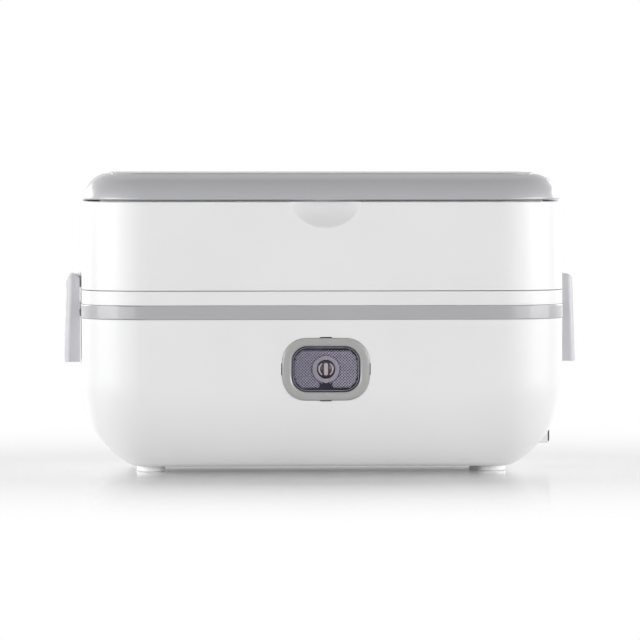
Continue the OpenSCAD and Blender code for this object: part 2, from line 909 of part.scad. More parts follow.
module switch_board() {
    color(board_green) placed() difference() {
        front_slab(2 * (peg_x + peg_end), small_board_h, 1, board_front, board_front + small_board_t);
        for (s = [-1, 1]) {
            translate([s * peg_x, 0, 0])
                peg(peg_r + slip / 2, board_front - 1, board_front + small_board_t + 1);
        }
    }
}

switch_w = 6.2;
stem_r = 1.7;
led_up = 6;
led_r = 1.5;
led_l = 2;

// The plunger's stem stands in the switch's mouth and goes in as the button is pressed
module tact_switch() {
    color(smoke) placed() difference() {
        front_slab(switch_w, switch_w, small_r, board_front - switch_h, board_front);
        peg(stem_r + button_gap, stem_end - 1, stem_end + button_travel + button_gap);
    }
}

module indicator_led() {
    color(white) placed() translate([0, 0, led_up]) peg(led_r, board_front - led_l, board_front);
}

module button_lens() {
    color(smoke) placed() front_slab(window_w - 2 * slip, window_h - 2 * slip, window_r - slip,
        lens_front, plunger_front);
}

mark_t = 0.25;
mark_bar_w = 1.5;
mark_bar_gap = 1.4;

module button_mark() {
    color(silicone) placed() {
        difference() {
            peg(mark_r, lens_front - mark_t, lens_front);
            peg(mark_r - mark_ring, lens_front - 1, lens_front + 1);
        }
        front_slab(mark_bar_w, 2 * (mark_r - mark_ring - mark_bar_gap), mark_bar_w / 2 - fuse,
            lens_front - mark_t, lens_front);
    }
}

module button_plunger() {
    color(white) placed() {
        front_slab(window_w + 2 * guide - 2 * free, window_h + 2 * guide - 2 * free,
            window_r + guide - free, plunger_front, plunger_front + plunger_t);
        peg(stem_r, plunger_front + plunger_t - fuse, stem_end);
    }
}

// ---------- dishes ----------

module lower_dish() {
    color(steel) placed() tub(dish_inset, lower_dish_top, lower_dish_z, dish_t, dish_rim);
}

module upper_dish() {
    color(steel) placed() tub(dish_inset, upper_dish_top, upper_dish_z, dish_t, dish_rim);
}

// ---------- upper tier ----------

// The collar stands on the lower dish through its seal. Its spigot drops inside the band's lip,
// and its tongue reaches up inside the shell.
seam_gap = 0.3;
seal_edge = 0.7;
seal_inset = dish_inset - dish_rim - seal_edge;
seal_w = 3.6;
spigot_gap = 0.3;
spigot_inset = band_lip + spigot_gap;
spigot_t = 2;
tongue_inset = wall + tier_draft + slip;
tongue_t = 1.6;
tongue_h = 4;

module tier_collar() {
    color(white) placed() round_body() {
        strip(0, wall, tier_z, seam_z);
        strip(0, seal_inset + seal_w, collar_web_z, collar_web_z + deck_t);
        strip(tongue_inset, tongue_inset + tongue_t, collar_web_z, seam_z + tongue_h);
        strip(spigot_inset, spigot_inset + spigot_t, deck_z + spigot_gap, collar_web_z + fuse);
    }
}

// The notch is a ball pressed into the wall; its edge is rounded all the way round
notch_r = (pow(notch_w / 2, 2) + pow(notch_h, 2)) / (2 * notch_h);
ball_r = (pow(notch_r, 2) + pow(notch_in, 2)) / (2 * notch_in);
ball_out = ball_r - notch_in;
lean = atan2(tier_draft, tier_h);
top_front_y = front_y + tier_draft;

module tier_shell() {
    deck_out = dish_inset - dish_seat;
    color(white) placed() difference() {
        union() {
            round_body() {
                polygon([
                    [corner_r - wall, seam_z + seam_gap],
                    [corner_r, seam_z + seam_gap],
                    [corner_r - tier_draft, tier_top - tier_edge],
                    [corner_r - tier_draft - tier_edge, tier_top],
                    [corner_r - tier_draft - wall, tier_top]]);
                strip(wall, deck_out, upper_deck_z - deck_t, upper_deck_z);
            }
            intersection() {
                notch_ball(ball_r + notch_wall);
                translate([-body_w / 2, front_y + wall / 2, seam_z])
                    cube([body_w, corner_r, tier_h]);
            }
            for (s = [0, 1]) {
                mirror([s, 0, 0]) latch_knuckle();
            }
            tier_knuckles();
        }
        notch_cut();
        upper_opening(deck_out);
        latch_bores();
        hinge_bore();
    }
}
tier_edge = 0.4;
dish_seat = 1.5;

// The ball of the notch, in the leaning front wall
module notch_ball(r) {
    translate([0, top_front_y, tier_top + notch_r - notch_h]) rotate([-lean, 0, 0])
        translate([0, -ball_out, 0]) sphere(r);
}

// The ball with the flare that rounds its edge
module notch_cut() {
    edge_x = sqrt(pow(ball_r + notch_round, 2) - pow(ball_out + notch_round, 2));
    scale_in = ball_r / (ball_r + notch_round);
    translate([0, top_front_y, tier_top + notch_r - notch_h]) rotate([-lean, 0, 0])
        rotate([-90, 0, 0]) rotate_extrude() {
            intersection() {
                translate([0, -ball_out]) circle(ball_r);
                translate([0, -ball_out]) square([ball_r, 2 * ball_r]);
            }
            difference() {
                polygon([[0, -ball_out], [edge_x, -ball_out], [edge_x, notch_round],
                    [edge_x * scale_in, (ball_out + notch_round) * scale_in - ball_out], [0, 0]]);
                translate([edge_x, notch_round]) circle(notch_round);
            }
        }
}

// Keeps the opening of the upper deck clear for the dish
module upper_opening(inset) {
    plate(inset, upper_deck_z - wall - deck_t, tier_top + 1);
}

// A latch turns on a knuckle at its upper end, beside the tier
band_face = body_w / 2 + band_proud;
latch_in = band_face + latch_gap;
latch_end_r = latch_top_t / 2;
latch_axis_x = latch_in + latch_end_r;
latch_axis_z = latch_top_z - latch_end_r;
catch_w = 19;
latch_knuckle_w = 18;
latch_low_z = latch_top_z - latch_h;

module latch_knuckle() {
    root = body_w / 2 - knuckle_root;
    along_y(latch_knuckle_w) {
        translate([latch_axis_x, latch_axis_z]) circle(latch_end_r);
        translate([root, latch_axis_z - latch_end_r])
            square([latch_axis_x - root, 2 * latch_end_r]);
        translate([root, latch_axis_z]) square([latch_in - root, latch_end_r + knuckle_up]);
    }
}
knuckle_root = 1.4;
knuckle_up = 0.6;

module latch_bores() {
    for (s = [-1, 1]) {
        translate([s * latch_axis_x, 0, latch_axis_z]) rotate([90, 0, 0])
            cylinder(r = latch_pin_r + pin_fit, h = latch_w, center = true);
    }
}

hinge_y = body_d / 2 + hinge_out;
hinge_z = tier_top + lid_gap / 2;
hinge_w = lid_knuckle_w + 2 * (tier_knuckle_w + free);
web_root = 1.5;
web_foot = 0.3;
web_drop = 10;
web_turn = 20;
web_step = 0.1;

// Profile of a tier knuckle: the barrel and the web that joins it to the rear wall
module tier_knuckle_profile() {
    translate([hinge_y, hinge_z]) circle(knuckle_r);
    polygon([
        [body_d / 2 - web_root, tier_top - web_drop],
        [body_d / 2 + web_foot, tier_top - web_drop],
        [hinge_y + knuckle_r * cos(web_turn), hinge_z - knuckle_r * sin(web_turn)],
        [hinge_y, hinge_z],
        [body_d / 2 - web_root, tier_top - web_step]]);
}

module tier_knuckles() {
    for (s = [-1, 1]) {
        for (k = [-1, 1]) {
            translate([s * hinge_x + k * (lid_knuckle_w / 2 + free + tier_knuckle_w / 2), 0, 0])
                along_x(tier_knuckle_w) tier_knuckle_profile();
        }
    }
}

// The bores for the hinge pins stop short of the outer ends
pin_cap = 1.2;

module hinge_bore() {
    for (s = [-1, 1]) {
        translate([s * hinge_x, hinge_y, hinge_z]) rotate([0, 90, 0])
            cylinder(r = hinge_pin_r + pin_fit, h = hinge_w - 2 * pin_cap, center = true);
    }
}

module hinge_pins() {
    color(steel) placed() for (s = [-1, 1]) {
        translate([s * hinge_x, hinge_y, hinge_z]) rotate([0, 90, 0])
            cylinder(r = hinge_pin_r, h = hinge_w - 2 * pin_cap - slip, center = true);
    }
}

module latch_pins() {
    color(steel) placed() for (s = [-1, 1]) {
        translate([s * latch_axis_x, 0, latch_axis_z]) rotate([90, 0, 0])
            cylinder(r = latch_pin_r, h = latch_w - 2 * pin_cap - slip, center = true);
    }
}

module tier_seal() {
    color(silicone) placed() ring(seal_inset, seal_inset + seal_w, lower_dish_top, collar_web_z);
}

// ---------- latches ----------

// The hook closes 0.3 mm under the catch
hook_gap = 0.3;
hook_top = band_z + slip - hook_gap;
hook_h = 2.8;

// Side profile of a latch, drawn for the right-hand side
module latch_profile() {
    translate([latch_axis_x, latch_axis_z]) circle(latch_end_r);
    translate([latch_in + latch_low_t - latch_foot_r, latch_low_z + latch_foot_r])
        circle(latch_foot_r);
    polygon([
        [latch_in, latch_axis_z],
        [latch_in, latch_low_z],
        [latch_in + latch_low_t - latch_foot_r, latch_low_z],
        [latch_in + latch_low_t, latch_low_z + latch_foot_r],
        [latch_in + latch_top_t, latch_axis_z]]);
}

module latch() {
    flare = atan2(latch_low_t - latch_top_t, latch_axis_z - latch_low_z);
    difference() {
        intersection() {
            along_y(latch_w) latch_profile();
            translate([latch_in + latch_low_t - latch_w / 2, 0, latch_low_z]) rotate([0, -flare, 0])
                translate([0, 0, -latch_h]) linear_extrude(3 * latch_h)
                rounded(latch_w, latch_w, latch_round);
        }
        difference() {
            along_y(latch_w - 2 * latch_wall) {
                polygon([
                    [latch_in - 1, latch_top_z + 1],
                    [latch_in - 1, latch_low_z - 1],
                    [latch_in + latch_low_t - latch_wall, latch_low_z - 1],
                    [latch_in + latch_top_t - latch_wall, latch_axis_z],
                    [latch_in + latch_top_t - latch_wall, latch_top_z + 1]]);
            }
            translate([latch_in, -latch_knuckle_w / 2, hook_top - hook_h])
                cube([latch_top_t, latch_knuckle_w, hook_h]);
        }
        translate([latch_in - 1, -latch_knuckle_w / 2 - free, latch_axis_z - latch_end_r - 1])
            cube([latch_low_t + 2, latch_knuckle_w + 2 * free, latch_h]);
        translate([latch_axis_x, 0, latch_axis_z]) rotate([90, 0, 0])
            cylinder(r = latch_pin_r + pin_fit, h = latch_w - 2 * pin_cap, center = true);
    }
}

module latch_left() {
    color(pale_grey) placed() mirror([1, 0, 0]) latch();
}

module latch_right() {
    color(pale_grey) placed() latch();
}

// ---------- lid ----------

// The shoulder is an arc that leans in from the upright edge and ends level beside the panel
cover_top_z = lid_top - panel_proud;
shoulder_h = lid_h - lid_edge - panel_proud;
shoulder_r = shoulder_h + lid_spread;
shoulder_x = corner_r - lid_inset - sqrt(pow(shoulder_r, 2) - pow(lid_spread, 2));
liner_gap = 0.6;
liner_inset = lid_inset + lid_t + liner_gap;
liner_z = lid_z + slip;
lid_screw_side = 24;
lid_screw_front = 22;
lid_screw_h = 5.5;
lid_screw_x = body_w / 2 - lid_screw_side;
lid_screw_y = body_d / 2 - lid_screw_front;

// The keeper ring holds the lid's seal and passes behind the thumb notch
notch_back = tier_draft - ball_out + sqrt(pow(ball_r + notch_wall, 2) - pow(notch_r - notch_h, 2));
keeper_inset = notch_back + free;
keeper_t = 1.6;

// The filled profile of the lid, thinner by t
module lid_profile(t) {
    x_out = shoulder_x + sqrt(pow(shoulder_r - t, 2) - pow(lid_spread, 2));
    translate([0, lid_z - 1]) square([x_out, lid_edge + 1]);
    translate([0, lid_z - 1]) square([shoulder_x, cover_top_z - t - lid_z + 1]);
    intersection() {
        translate([shoulder_x, cover_top_z - shoulder_r]) circle(shoulder_r - t);
        translate([shoulder_x - 1, lid_z + lid_edge]) square([shoulder_r + 1, shoulder_h]);
    }
}

// Rounds the lower edge of the lid's profile
module lid_lip() {
    x_out = corner_r - lid_inset;
    translate([0, lid_z]) square([x_out - lid_lip_r, lid_h]);
    translate([0, lid_z + lid_lip_r]) square([x_out, lid_h]);
    translate([x_out - lid_lip_r, lid_z + lid_lip_r]) circle(lid_lip_r);
}

module lid_cover() {
    color(grey) placed() difference() {
        union() {
            round_body() intersection() {
                difference() {
                    lid_profile(0);
                    lid_profile(lid_t);
                }
                lid_lip();
            }
            translate([-core_w / 2, -core_d / 2, cover_top_z - lid_t]) cube([core_w, core_d, lid_t]);
            at_corners(lid_screw_x, lid_screw_y) translate([0, 0, liner_z + liner_t])
                cylinder(r = boss_r, h = cover_top_z - liner_z - liner_t - lid_t / 2);
            lid_knuckles();
        }
        panel_seat();
        at_corners(lid_screw_x, lid_screw_y)
            cylinder(r = screw_r + pin_fit, h = liner_z + lid_screw_h + 1);
        translate([0, plug_y, 0]) cylinder(r = plug_r + slip, h = lid_top + 1);
        hinge_bore();
    }
}

// A barrel for each hinge, carried on an arm from the rear of the lid
module lid_knuckles() {
    for (s = [-1, 1]) {
        translate([s * hinge_x, 0, 0]) along_x(lid_knuckle_w) {
            translate([hinge_y, hinge_z]) circle(knuckle_r);
            polygon([
                [hinge_y, hinge_z],
                [hinge_y + knuckle_r * cos(arm_turn), hinge_z + knuckle_r * sin(arm_turn)],
                [body_d / 2 - lid_inset - arm_root, lid_z + arm_h],
                [body_d / 2 - lid_inset - arm_root, lid_z]]);
        }
    }
}
arm_turn = 60;
arm_root = 1.2;
arm_h = 4.2;

// The shallow seat for the top panel
module panel_seat() {
    plate(lid_inset + panel_inset - slip / 2, cover_top_z - panel_seat_t, cover_top_z + 1);
}
panel_seat_t = 0.8;

module lid_panel() {
    r = panel_proud;
    inset = lid_inset + panel_inset;
    color(grey) placed() difference() {
        union() {
            plate(inset, cover_top_z - panel_seat_t, lid_top - r);
            plate(inset + r, lid_top - r - fuse, lid_top);
            round_body() translate([corner_r - inset - r, lid_top - r]) intersection() {
                circle(r);
                square([r, r]);
            }
        }
        translate([0, plug_y, 0]) cylinder(r = plug_head_r + slip, h = lid_top + 1);
    }
}

module lid_liner() {
    color(white) placed() difference() {
        union() {
            plate(liner_inset, liner_z, liner_z + liner_t);
            ring(keeper_inset, keeper_inset + keeper_t, upper_dish_top + free, liner_z + fuse);
        }
        at_corners(lid_screw_x, lid_screw_y) translate([0, 0, liner_z - 1])
            cylinder(r = screw_r + slip, h = liner_t + 2);
        translate([0, plug_y, liner_z - 1]) cylinder(r = plug_r + slip, h = liner_t + 2);
    }
}

module lid_seal() {
    color(silicone) placed()
        ring(keeper_inset + keeper_t + slip, dish_inset - free, upper_dish_top, liner_z);
}

plug_y = 22;
plug_r = 5;
plug_wall = 1.6;
plug_head_r = 8;
plug_below = 1;
plug_seat_z = cover_top_z - panel_seat_t;
plug_low_z = liner_z - plug_below;
vent_r = 0.7;
vent_at = 2;

// The vented plug passes through the lining and the cover, with its head flush in the panel
module steam_plug() {
    color(silicone) placed() translate([0, plug_y, 0]) difference() {
        union() {
            translate([0, 0, plug_low_z]) cylinder(r = plug_r, h = plug_seat_z - plug_low_z + fuse);
            translate([0, 0, plug_seat_z]) cylinder(r = plug_head_r, h = lid_top - plug_seat_z);
        }
        translate([0, 0, plug_low_z - 1]) cylinder(r = plug_r - plug_wall, h = plug_seat_z - plug_low_z);
        for (a = [0:60:300]) {
            rotate([0, 0, a]) translate([vent_at, 0, 0]) cylinder(r = vent_r, h = lid_top + 1);
        }
    }
}

module lid_screws() {
    color(steel) placed() at_corners(lid_screw_x, lid_screw_y)
        translate([0, 0, liner_z]) screw(lid_screw_h);
}

base_shell();
rim_band();
bottom_cover();
feet();
bottom_screws();
basin();
heating_plate();
plate_seal();
ptc_heater();
heater_clamp();
clamp_screws();
thermostat();
thermal_fuse();
control_board();
board_parts();
board_screws();
inlet_housing();
inlet_pins();
inlet_wires();
heater_wires();
button_bezel();
switch_board();
tact_switch();
indicator_led();
button_lens();
button_mark();
button_plunger();
lower_dish();
tier_collar();
tier_shell();
tier_seal();
upper_dish();
hinge_pins();
latch_pins();
latch_left();
latch_right();
lid_cover();
lid_panel();
lid_liner();
lid_seal();
steam_plug();
lid_screws();
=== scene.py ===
"""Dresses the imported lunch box: finishes, the detailed pieces, the studio and the camera.

Every object is in metres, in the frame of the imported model. Pieces take their place from the
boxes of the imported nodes, so they follow the model when a size changes.
"""

import logging
import math
from dataclasses import dataclass, field, replace
from enum import Enum
from typing import Any, Iterable, Sequence

import bmesh
import bpy
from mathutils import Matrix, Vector


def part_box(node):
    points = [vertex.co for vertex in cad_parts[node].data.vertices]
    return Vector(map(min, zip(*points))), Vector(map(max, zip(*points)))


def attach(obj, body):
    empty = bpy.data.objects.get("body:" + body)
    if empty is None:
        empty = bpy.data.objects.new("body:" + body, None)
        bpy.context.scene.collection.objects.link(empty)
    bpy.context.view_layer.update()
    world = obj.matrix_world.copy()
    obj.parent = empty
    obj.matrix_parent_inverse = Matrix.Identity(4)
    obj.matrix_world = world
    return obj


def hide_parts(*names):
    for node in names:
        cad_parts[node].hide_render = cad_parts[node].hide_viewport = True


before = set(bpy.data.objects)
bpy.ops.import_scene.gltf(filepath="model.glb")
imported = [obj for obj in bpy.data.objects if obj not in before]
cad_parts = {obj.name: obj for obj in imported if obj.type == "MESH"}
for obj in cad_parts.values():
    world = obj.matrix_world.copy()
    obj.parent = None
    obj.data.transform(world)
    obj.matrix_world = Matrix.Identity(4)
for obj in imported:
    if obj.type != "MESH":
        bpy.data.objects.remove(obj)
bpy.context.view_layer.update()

Colour = tuple[float, float, float]
Point = tuple[float, float, float]
Pair = tuple[float, float]

MM = 0.001
WHITE: Colour = (1.0, 1.0, 1.0)
EDGE_STEPS = 3
BEVEL_SAMPLES = 4
WELD = 1e-7
LOG = logging.getLogger("lunch_box")


def srgb(red: int, green: int, blue: int) -> Colour:
    """Turns screen values from 0 to 255 into a linear colour."""
    return tuple(
        c / 12.92 if c <= 0.04045 else ((c + 0.055) / 1.055) ** 2.4
        for c in (red / 255, green / 255, blue / 255)
    )


# ---------------------------------------------------------------- shader maths


class Sum(Enum):
    """What a Math node works out, by Blender's name for it."""

    ADD = "ADD"
    SUBTRACT = "SUBTRACT"
    MULTIPLY = "MULTIPLY"
    DIVIDE = "DIVIDE"
    POWER = "POWER"
    ABOVE = "GREATER_THAN"
    ABSOLUTE = "ABSOLUTE"
    FRACTION = "FRACT"
    MOST = "MAXIMUM"


class Value:
    """A number that runs through a shader's nodes, with the usual arithmetic."""

    def __init__(self, graph: "Graph", socket: bpy.types.NodeSocket) -> None:
        """Wraps one output socket of a node in graph."""
        self.graph = graph
        self.socket = socket

    def _math(self, kind: Sum, *terms: Any) -> "Value":
        """Adds a Math node that works on the given terms."""
        inputs = dict(enumerate(terms))
        return self.graph.node("ShaderNodeMath", {"operation": kind.value}, inputs).value()

    def __add__(self, other: Any) -> "Value":
        """Self plus other."""
        return self._math(Sum.ADD, self, other)

    __radd__ = __add__

    def __sub__(self, other: Any) -> "Value":
        """Self minus other."""
        return self._math(Sum.SUBTRACT, self, other)

    def __rsub__(self, other: Any) -> "Value":
        """Other minus self."""
        return self._math(Sum.SUBTRACT, other, self)

    def __mul__(self, other: Any) -> "Value":
        """Self times other."""
        return self._math(Sum.MULTIPLY, self, other)

    __rmul__ = __mul__

    def __truediv__(self, other: Any) -> "Value":
        """Self over other."""
        return self._math(Sum.DIVIDE, self, other)

    def __pow__(self, other: Any) -> "Value":
        """Self to the power of other."""
        return self._math(Sum.POWER, self, other)

    def above(self, limit: Any) -> "Value":
        """1 where self is over limit, and 0 elsewhere."""
        return self._math(Sum.ABOVE, self, limit)

    def absolute(self) -> "Value":
        """Self without its sign."""
        return self._math(Sum.ABSOLUTE, self)

    def fraction(self) -> "Value":
        """What is left of self after its whole part."""
        return self._math(Sum.FRACTION, self)

    def most(self, other: Any) -> "Value":
        """The larger of self and other."""
        return self._math(Sum.MOST, self, other)

    def spread(self, low: float, high: float, to_low: float, to_high: float) -> "Value":
        """Maps self from low..high to to_low..to_high and stops at the ends."""
        return self.graph.node(
            "ShaderNodeMapRange",
            {"clamp": True},
            {"Value": self, "From Min": low, "From Max": high, "To Min": to_low, "To Max": to_high},
        ).value("Result")


class Node:
    """A shader node whose outputs can be read by name or number."""

    def __init__(self, graph: "Graph", node: bpy.types.Node) -> None:
        """Wraps one node in graph."""
        self.graph = graph
        self.node = node

    def value(self, output: str | int = 0) -> Value:
        """The named output as a Value."""
        return Value(self.graph, self.node.outputs[output])


class Graph:
    """The nodes of one material, or of the world."""

    def __init__(self, owner: bpy.types.ID, output: str = "ShaderNodeOutputMaterial") -> None:
        """Empties the node tree of a material or world, its owner, and adds its output node."""
        owner.use_nodes = True
        self.owner = owner
        self.tree = owner.node_tree
        self.tree.nodes.clear()
        self.output = self.tree.nodes.new(output)

    def end(self, shader: Node) -> None:
        """Sends a shader to the output."""
        self.tree.links.new(shader.node.outputs[0], self.output.inputs["Surface"])

    def node(
        self,
        kind: str,
        settings: dict[str, Any] | None = None,
        inputs: dict[str | int, Any] | None = None,
    ) -> Node:
        """Adds a node.

        Args:
            kind: Blender's type name of the node.
            settings: the node's own properties.
            inputs: a number, colour, Value or Node for each socket, by name or number.

        Returns:
            The new node.
        """
        made = self.tree.nodes.new(kind)
        for key, setting in (settings or {}).items():
            setattr(made, key, setting)
        for key, given in (inputs or {}).items():
            self.feed(made.inputs[key], given)
        return Node(self, made)

    def feed(self, socket: bpy.types.NodeSocket, given: Any) -> None:
        """Links a Value or a Node to a socket, or sets the socket to a number or colour."""
        if isinstance(given, Node):
            given = given.value()
        if isinstance(given, Value):
            self.tree.links.new(given.socket, socket)
        elif isinstance(given, tuple) and socket.type == "RGBA" and len(given) == 3:
            socket.default_value = (*given, 1.0)
        else:
            socket.default_value = given

    def place(self, scale: Point = (1.0, 1.0, 1.0)) -> Value:
        """The point on the surface in metres, times scale on each axis."""
        point = self.node("ShaderNodeTexCoord").value("Object")
        return self.node(
            "ShaderNodeVectorMath", {"operation": "MULTIPLY"}, {0: point, 1: scale}
        ).value("Vector")

    def axis(self, name: str) -> Value:
        """One coordinate of the point on the surface, in metres."""
        return self.node("ShaderNodeSeparateXYZ", {}, {0: self.place()}).value(name)

    def noise(self, size: float, detail: float = 2.0, stretch: Point = (1, 1, 1)) -> Value:
        """Smooth noise from 0 to 1 whose blotches are about size metres across."""
        scale = tuple(s / size for s in stretch)
        return self.node(
            "ShaderNodeTexNoise", {}, {"Vector": self.place(scale), "Scale": 1.0, "Detail": detail}
        ).value("Fac")

    def blend(self, mask: Any, under: Any, over: Any) -> Value:
        """Mixes two colours: under where mask is 0, over where it is 1."""
        # The node has sockets of the same name for each data type, so these are their numbers.
        factor, a, b, result = 0, 6, 7, 2
        inputs = {factor: mask, a: under, b: over}
        return self.node("ShaderNodeMix", {"data_type": "RGBA"}, inputs).value(result)

    def mix(self, mask: Any, under: Node, over: Node) -> Node:
        """Mixes two shaders: under where mask is 0, over where it is 1."""
        return self.node("ShaderNodeMixShader", {}, {0: mask, 1: under, 2: over})

    def glow(self, strength: float) -> Node:
        """A shader that gives off white light."""
        return self.node("ShaderNodeEmission", {}, {"Color": WHITE, "Strength": strength})

    def relief(self, height: Value, depth: float, edge: float = 0.0) -> Value:
        """A normal with height's relief, depth metres deep, over edges softened by edge metres."""
        inputs: dict[str | int, Any] = {"Height": height, "Distance": depth, "Strength": 1.0}
        if edge > 0:
            inputs["Normal"] = self.node(
                "ShaderNodeBevel", {"samples": BEVEL_SAMPLES}, {"Radius": edge}
            )
        return self.node("ShaderNodeBump", {}, inputs).value("Normal")

    def finish(self, **inputs: Any) -> bpy.types.Material:
        """Ends the material in a Principled shader with the given sockets, spaces as _."""
        shader = self.node(
            "ShaderNodeBsdfPrincipled", {}, {k.replace("_", " "): v for k, v in inputs.items()}
        )
        self.end(shader)
        return self.owner


# ---------------------------------------------------------------- finishes


@dataclass(frozen=True)
class Finish:
    """A surface finish. Each kind below says how it looks, with its sizes in metres."""

    name: str

    def material(self) -> bpy.types.Material:
        """Returns the material, made once."""
        known = bpy.data.materials.get(self.name)
        return known if known else self.build(Graph(bpy.data.materials.new(self.name)))

    def build(self, graph: Graph) -> bpy.types.Material:
        """Builds the material's nodes in graph."""
        raise NotImplementedError


def shade(colour: Colour, factor: float) -> Colour:
    """A colour times factor, no part over 1."""
    return tuple(min(1.0, c * factor) for c in colour)


@dataclass(frozen=True)
class MouldedPlastic(Finish):
    """Injection-moulded plastic: a soft gloss, a fine spark-eroded grain and rounded edges."""

    colour: Colour = (0.8, 0.8, 0.8)
    roughness: float = 0.34
    uneven: float = 0.05
    mottle: float = 0.012
    flow_size: float = 0.045
    scuff_size: float = 0.0035
    scuff_stretch: Point = (1, 1, 0.35)
    scuff: float = 0.05
    grain: float = 0.0004
    grain_depth: float = 0.000006
    edge: float = 0.0004
    coat: float = 0.0
    coat_roughness: float = 0.12
    ior: float = 1.52

    def build(self, graph: Graph) -> bpy.types.Material:
        """Builds the plastic: flow marks move the gloss, and the tone by a hair."""
        flow = graph.noise(self.flow_size, 3.0)
        grain = graph.noise(self.grain, 1.0)
        scuffs = graph.noise(self.scuff_size, 4.0, self.scuff_stretch)
        lighter = shade(self.colour, 1 + self.mottle)
        darker = shade(self.colour, 1 - self.mottle)
        gloss = flow.spread(0.3, 0.7, self.roughness - self.uneven, self.roughness + self.uneven)
        return graph.finish(
            Base_Color=graph.blend(flow.spread(0.35, 0.65, 0, 1), darker, lighter),
            Roughness=gloss + scuffs.spread(0.62, 0.8, 0, self.scuff),
            Normal=graph.relief(grain, self.grain_depth, self.edge),
            Coat_Weight=self.coat,
            Coat_Roughness=self.coat_roughness,
            IOR=self.ior,
        )


@dataclass(frozen=True)
class SheetSteel(Finish):
    """Pressed stainless steel with the fine lines of its rolling and polishing."""

    colour: Colour = (0.62, 0.63, 0.65)
    roughness: float = 0.24
    line: float = 0.00025
    line_stretch: Point = (0.02, 1, 0.6)
    line_gloss: Pair = (-0.04, 0.06)
    depth: float = 0.000002
    mark_size: float = 0.03
    mark_tone: float = 0.94
    mark_gloss: float = 0.04
    edge: float = 0.0002

    def build(self, graph: Graph) -> bpy.types.Material:
        """Builds the steel: long lines along X, crossed by soft water marks."""
        lines = graph.noise(self.line, 2.0, self.line_stretch)
        marks = graph.noise(self.mark_size, 4.0)
        tint = shade(self.colour, self.mark_tone)
        return graph.finish(
            Base_Color=graph.blend(marks.spread(0.35, 0.7, 0, 1), self.colour, tint),
            Roughness=self.roughness + lines.spread(0.3, 0.7, *self.line_gloss)
            + marks.spread(0.4, 0.7, 0, self.mark_gloss),
            Metallic=1.0,
            Normal=graph.relief(lines, self.depth, self.edge),
        )


@dataclass(frozen=True)
class TurnedMetal(Finish):
    """Metal faced on a lathe: rings round a vertical axis."""

    colour: Colour = (0.58, 0.585, 0.6)
    roughness: float = 0.3
    centre: Pair = (0.0, 0.0)
    pitch: float = 0.0006
    depth: float = 0.00001
    wobble_size: float = 0.006
    wobble: float = 0.0002
    stain_size: float = 0.012
    stain_tone: float = 0.78
    stain_gloss: Pair = (-0.05, 0.1)
    edge: float = 0.0003

    def build(self, graph: Graph) -> bpy.types.Material:
        """Builds the metal from the distance to the axis."""
        x = graph.axis("X") - self.centre[0]
        y = graph.axis("Y") - self.centre[1]
        radius = (x * x + y * y) ** 0.5
        wobble = graph.noise(self.wobble_size, 2.0) * self.wobble
        ring = ((radius + wobble) / self.pitch).fraction()
        ridge = (ring - 0.5).absolute() * 2
        stain = graph.noise(self.stain_size, 5.0)
        dark = shade(self.colour, self.stain_tone)
        return graph.finish(
            Base_Color=graph.blend(stain.spread(0.45, 0.75, 0, 1), self.colour, dark),
            Roughness=self.roughness + stain.spread(0.3, 0.7, *self.stain_gloss),
            Metallic=1.0,
            Normal=graph.relief(ridge, self.depth, self.edge),
        )


@dataclass(frozen=True)
class PlatedMetal(Finish):
    """Small plated metal parts, such as screws and pins."""

    colour: Colour = (0.5, 0.5, 0.51)
    roughness: float = 0.36
    blotch_size: float = 0.0012
    blotch_tone: float = 0.82
    blotch_gloss: Pair = (-0.06, 0.08)
    depth: float = 0.000008
    edge: float = 0.0001

    def build(self, graph: Graph) -> bpy.types.Material:
        """Builds the plating, dulled in blotches."""
        blotch = graph.noise(self.blotch_size, 3.0)
        dull = shade(self.colour, self.blotch_tone)
        return graph.finish(
            Base_Color=graph.blend(blotch.spread(0.4, 0.7, 0, 1), self.colour, dull),
            Roughness=self.roughness + blotch.spread(0.3, 0.7, *self.blotch_gloss),
            Metallic=1.0,
            Normal=graph.relief(blotch, self.depth, self.edge),
        )


@dataclass(frozen=True)
class SiliconeRubber(Finish):
    """Food-safe silicone: matt, a little see-through, with a dusty grain."""

    colour: Colour = (0.74, 0.76, 0.78)
    roughness: float = 0.55
    sheen: float = 0.15
    cloud_size: float = 0.006
    cloud_tone: float = 0.93
    grain: float = 0.0003
    grain_gloss: float = 0.05
    grain_depth: float = 0.000012
    edge: float = 0.0005
    inner_light: float = 0.12
    inner_reach: float = 0.003

    def build(self, graph: Graph) -> bpy.types.Material:
        """Builds the silicone."""
        cloud = graph.noise(self.cloud_size, 3.0)
        grain = graph.noise(self.grain, 2.0)
        deep = shade(self.colour, self.cloud_tone)
        return graph.finish(
            Base_Color=graph.blend(cloud.spread(0.35, 0.65, 0, 1), self.colour, deep),
            Roughness=self.roughness + grain.spread(0.3, 0.7, -self.grain_gloss, self.grain_gloss),
            Normal=graph.relief(grain, self.grain_depth, self.edge),
            Sheen_Weight=self.sheen,
            Subsurface_Weight=self.inner_light,
            Subsurface_Radius=(self.inner_reach,) * 3,
        )


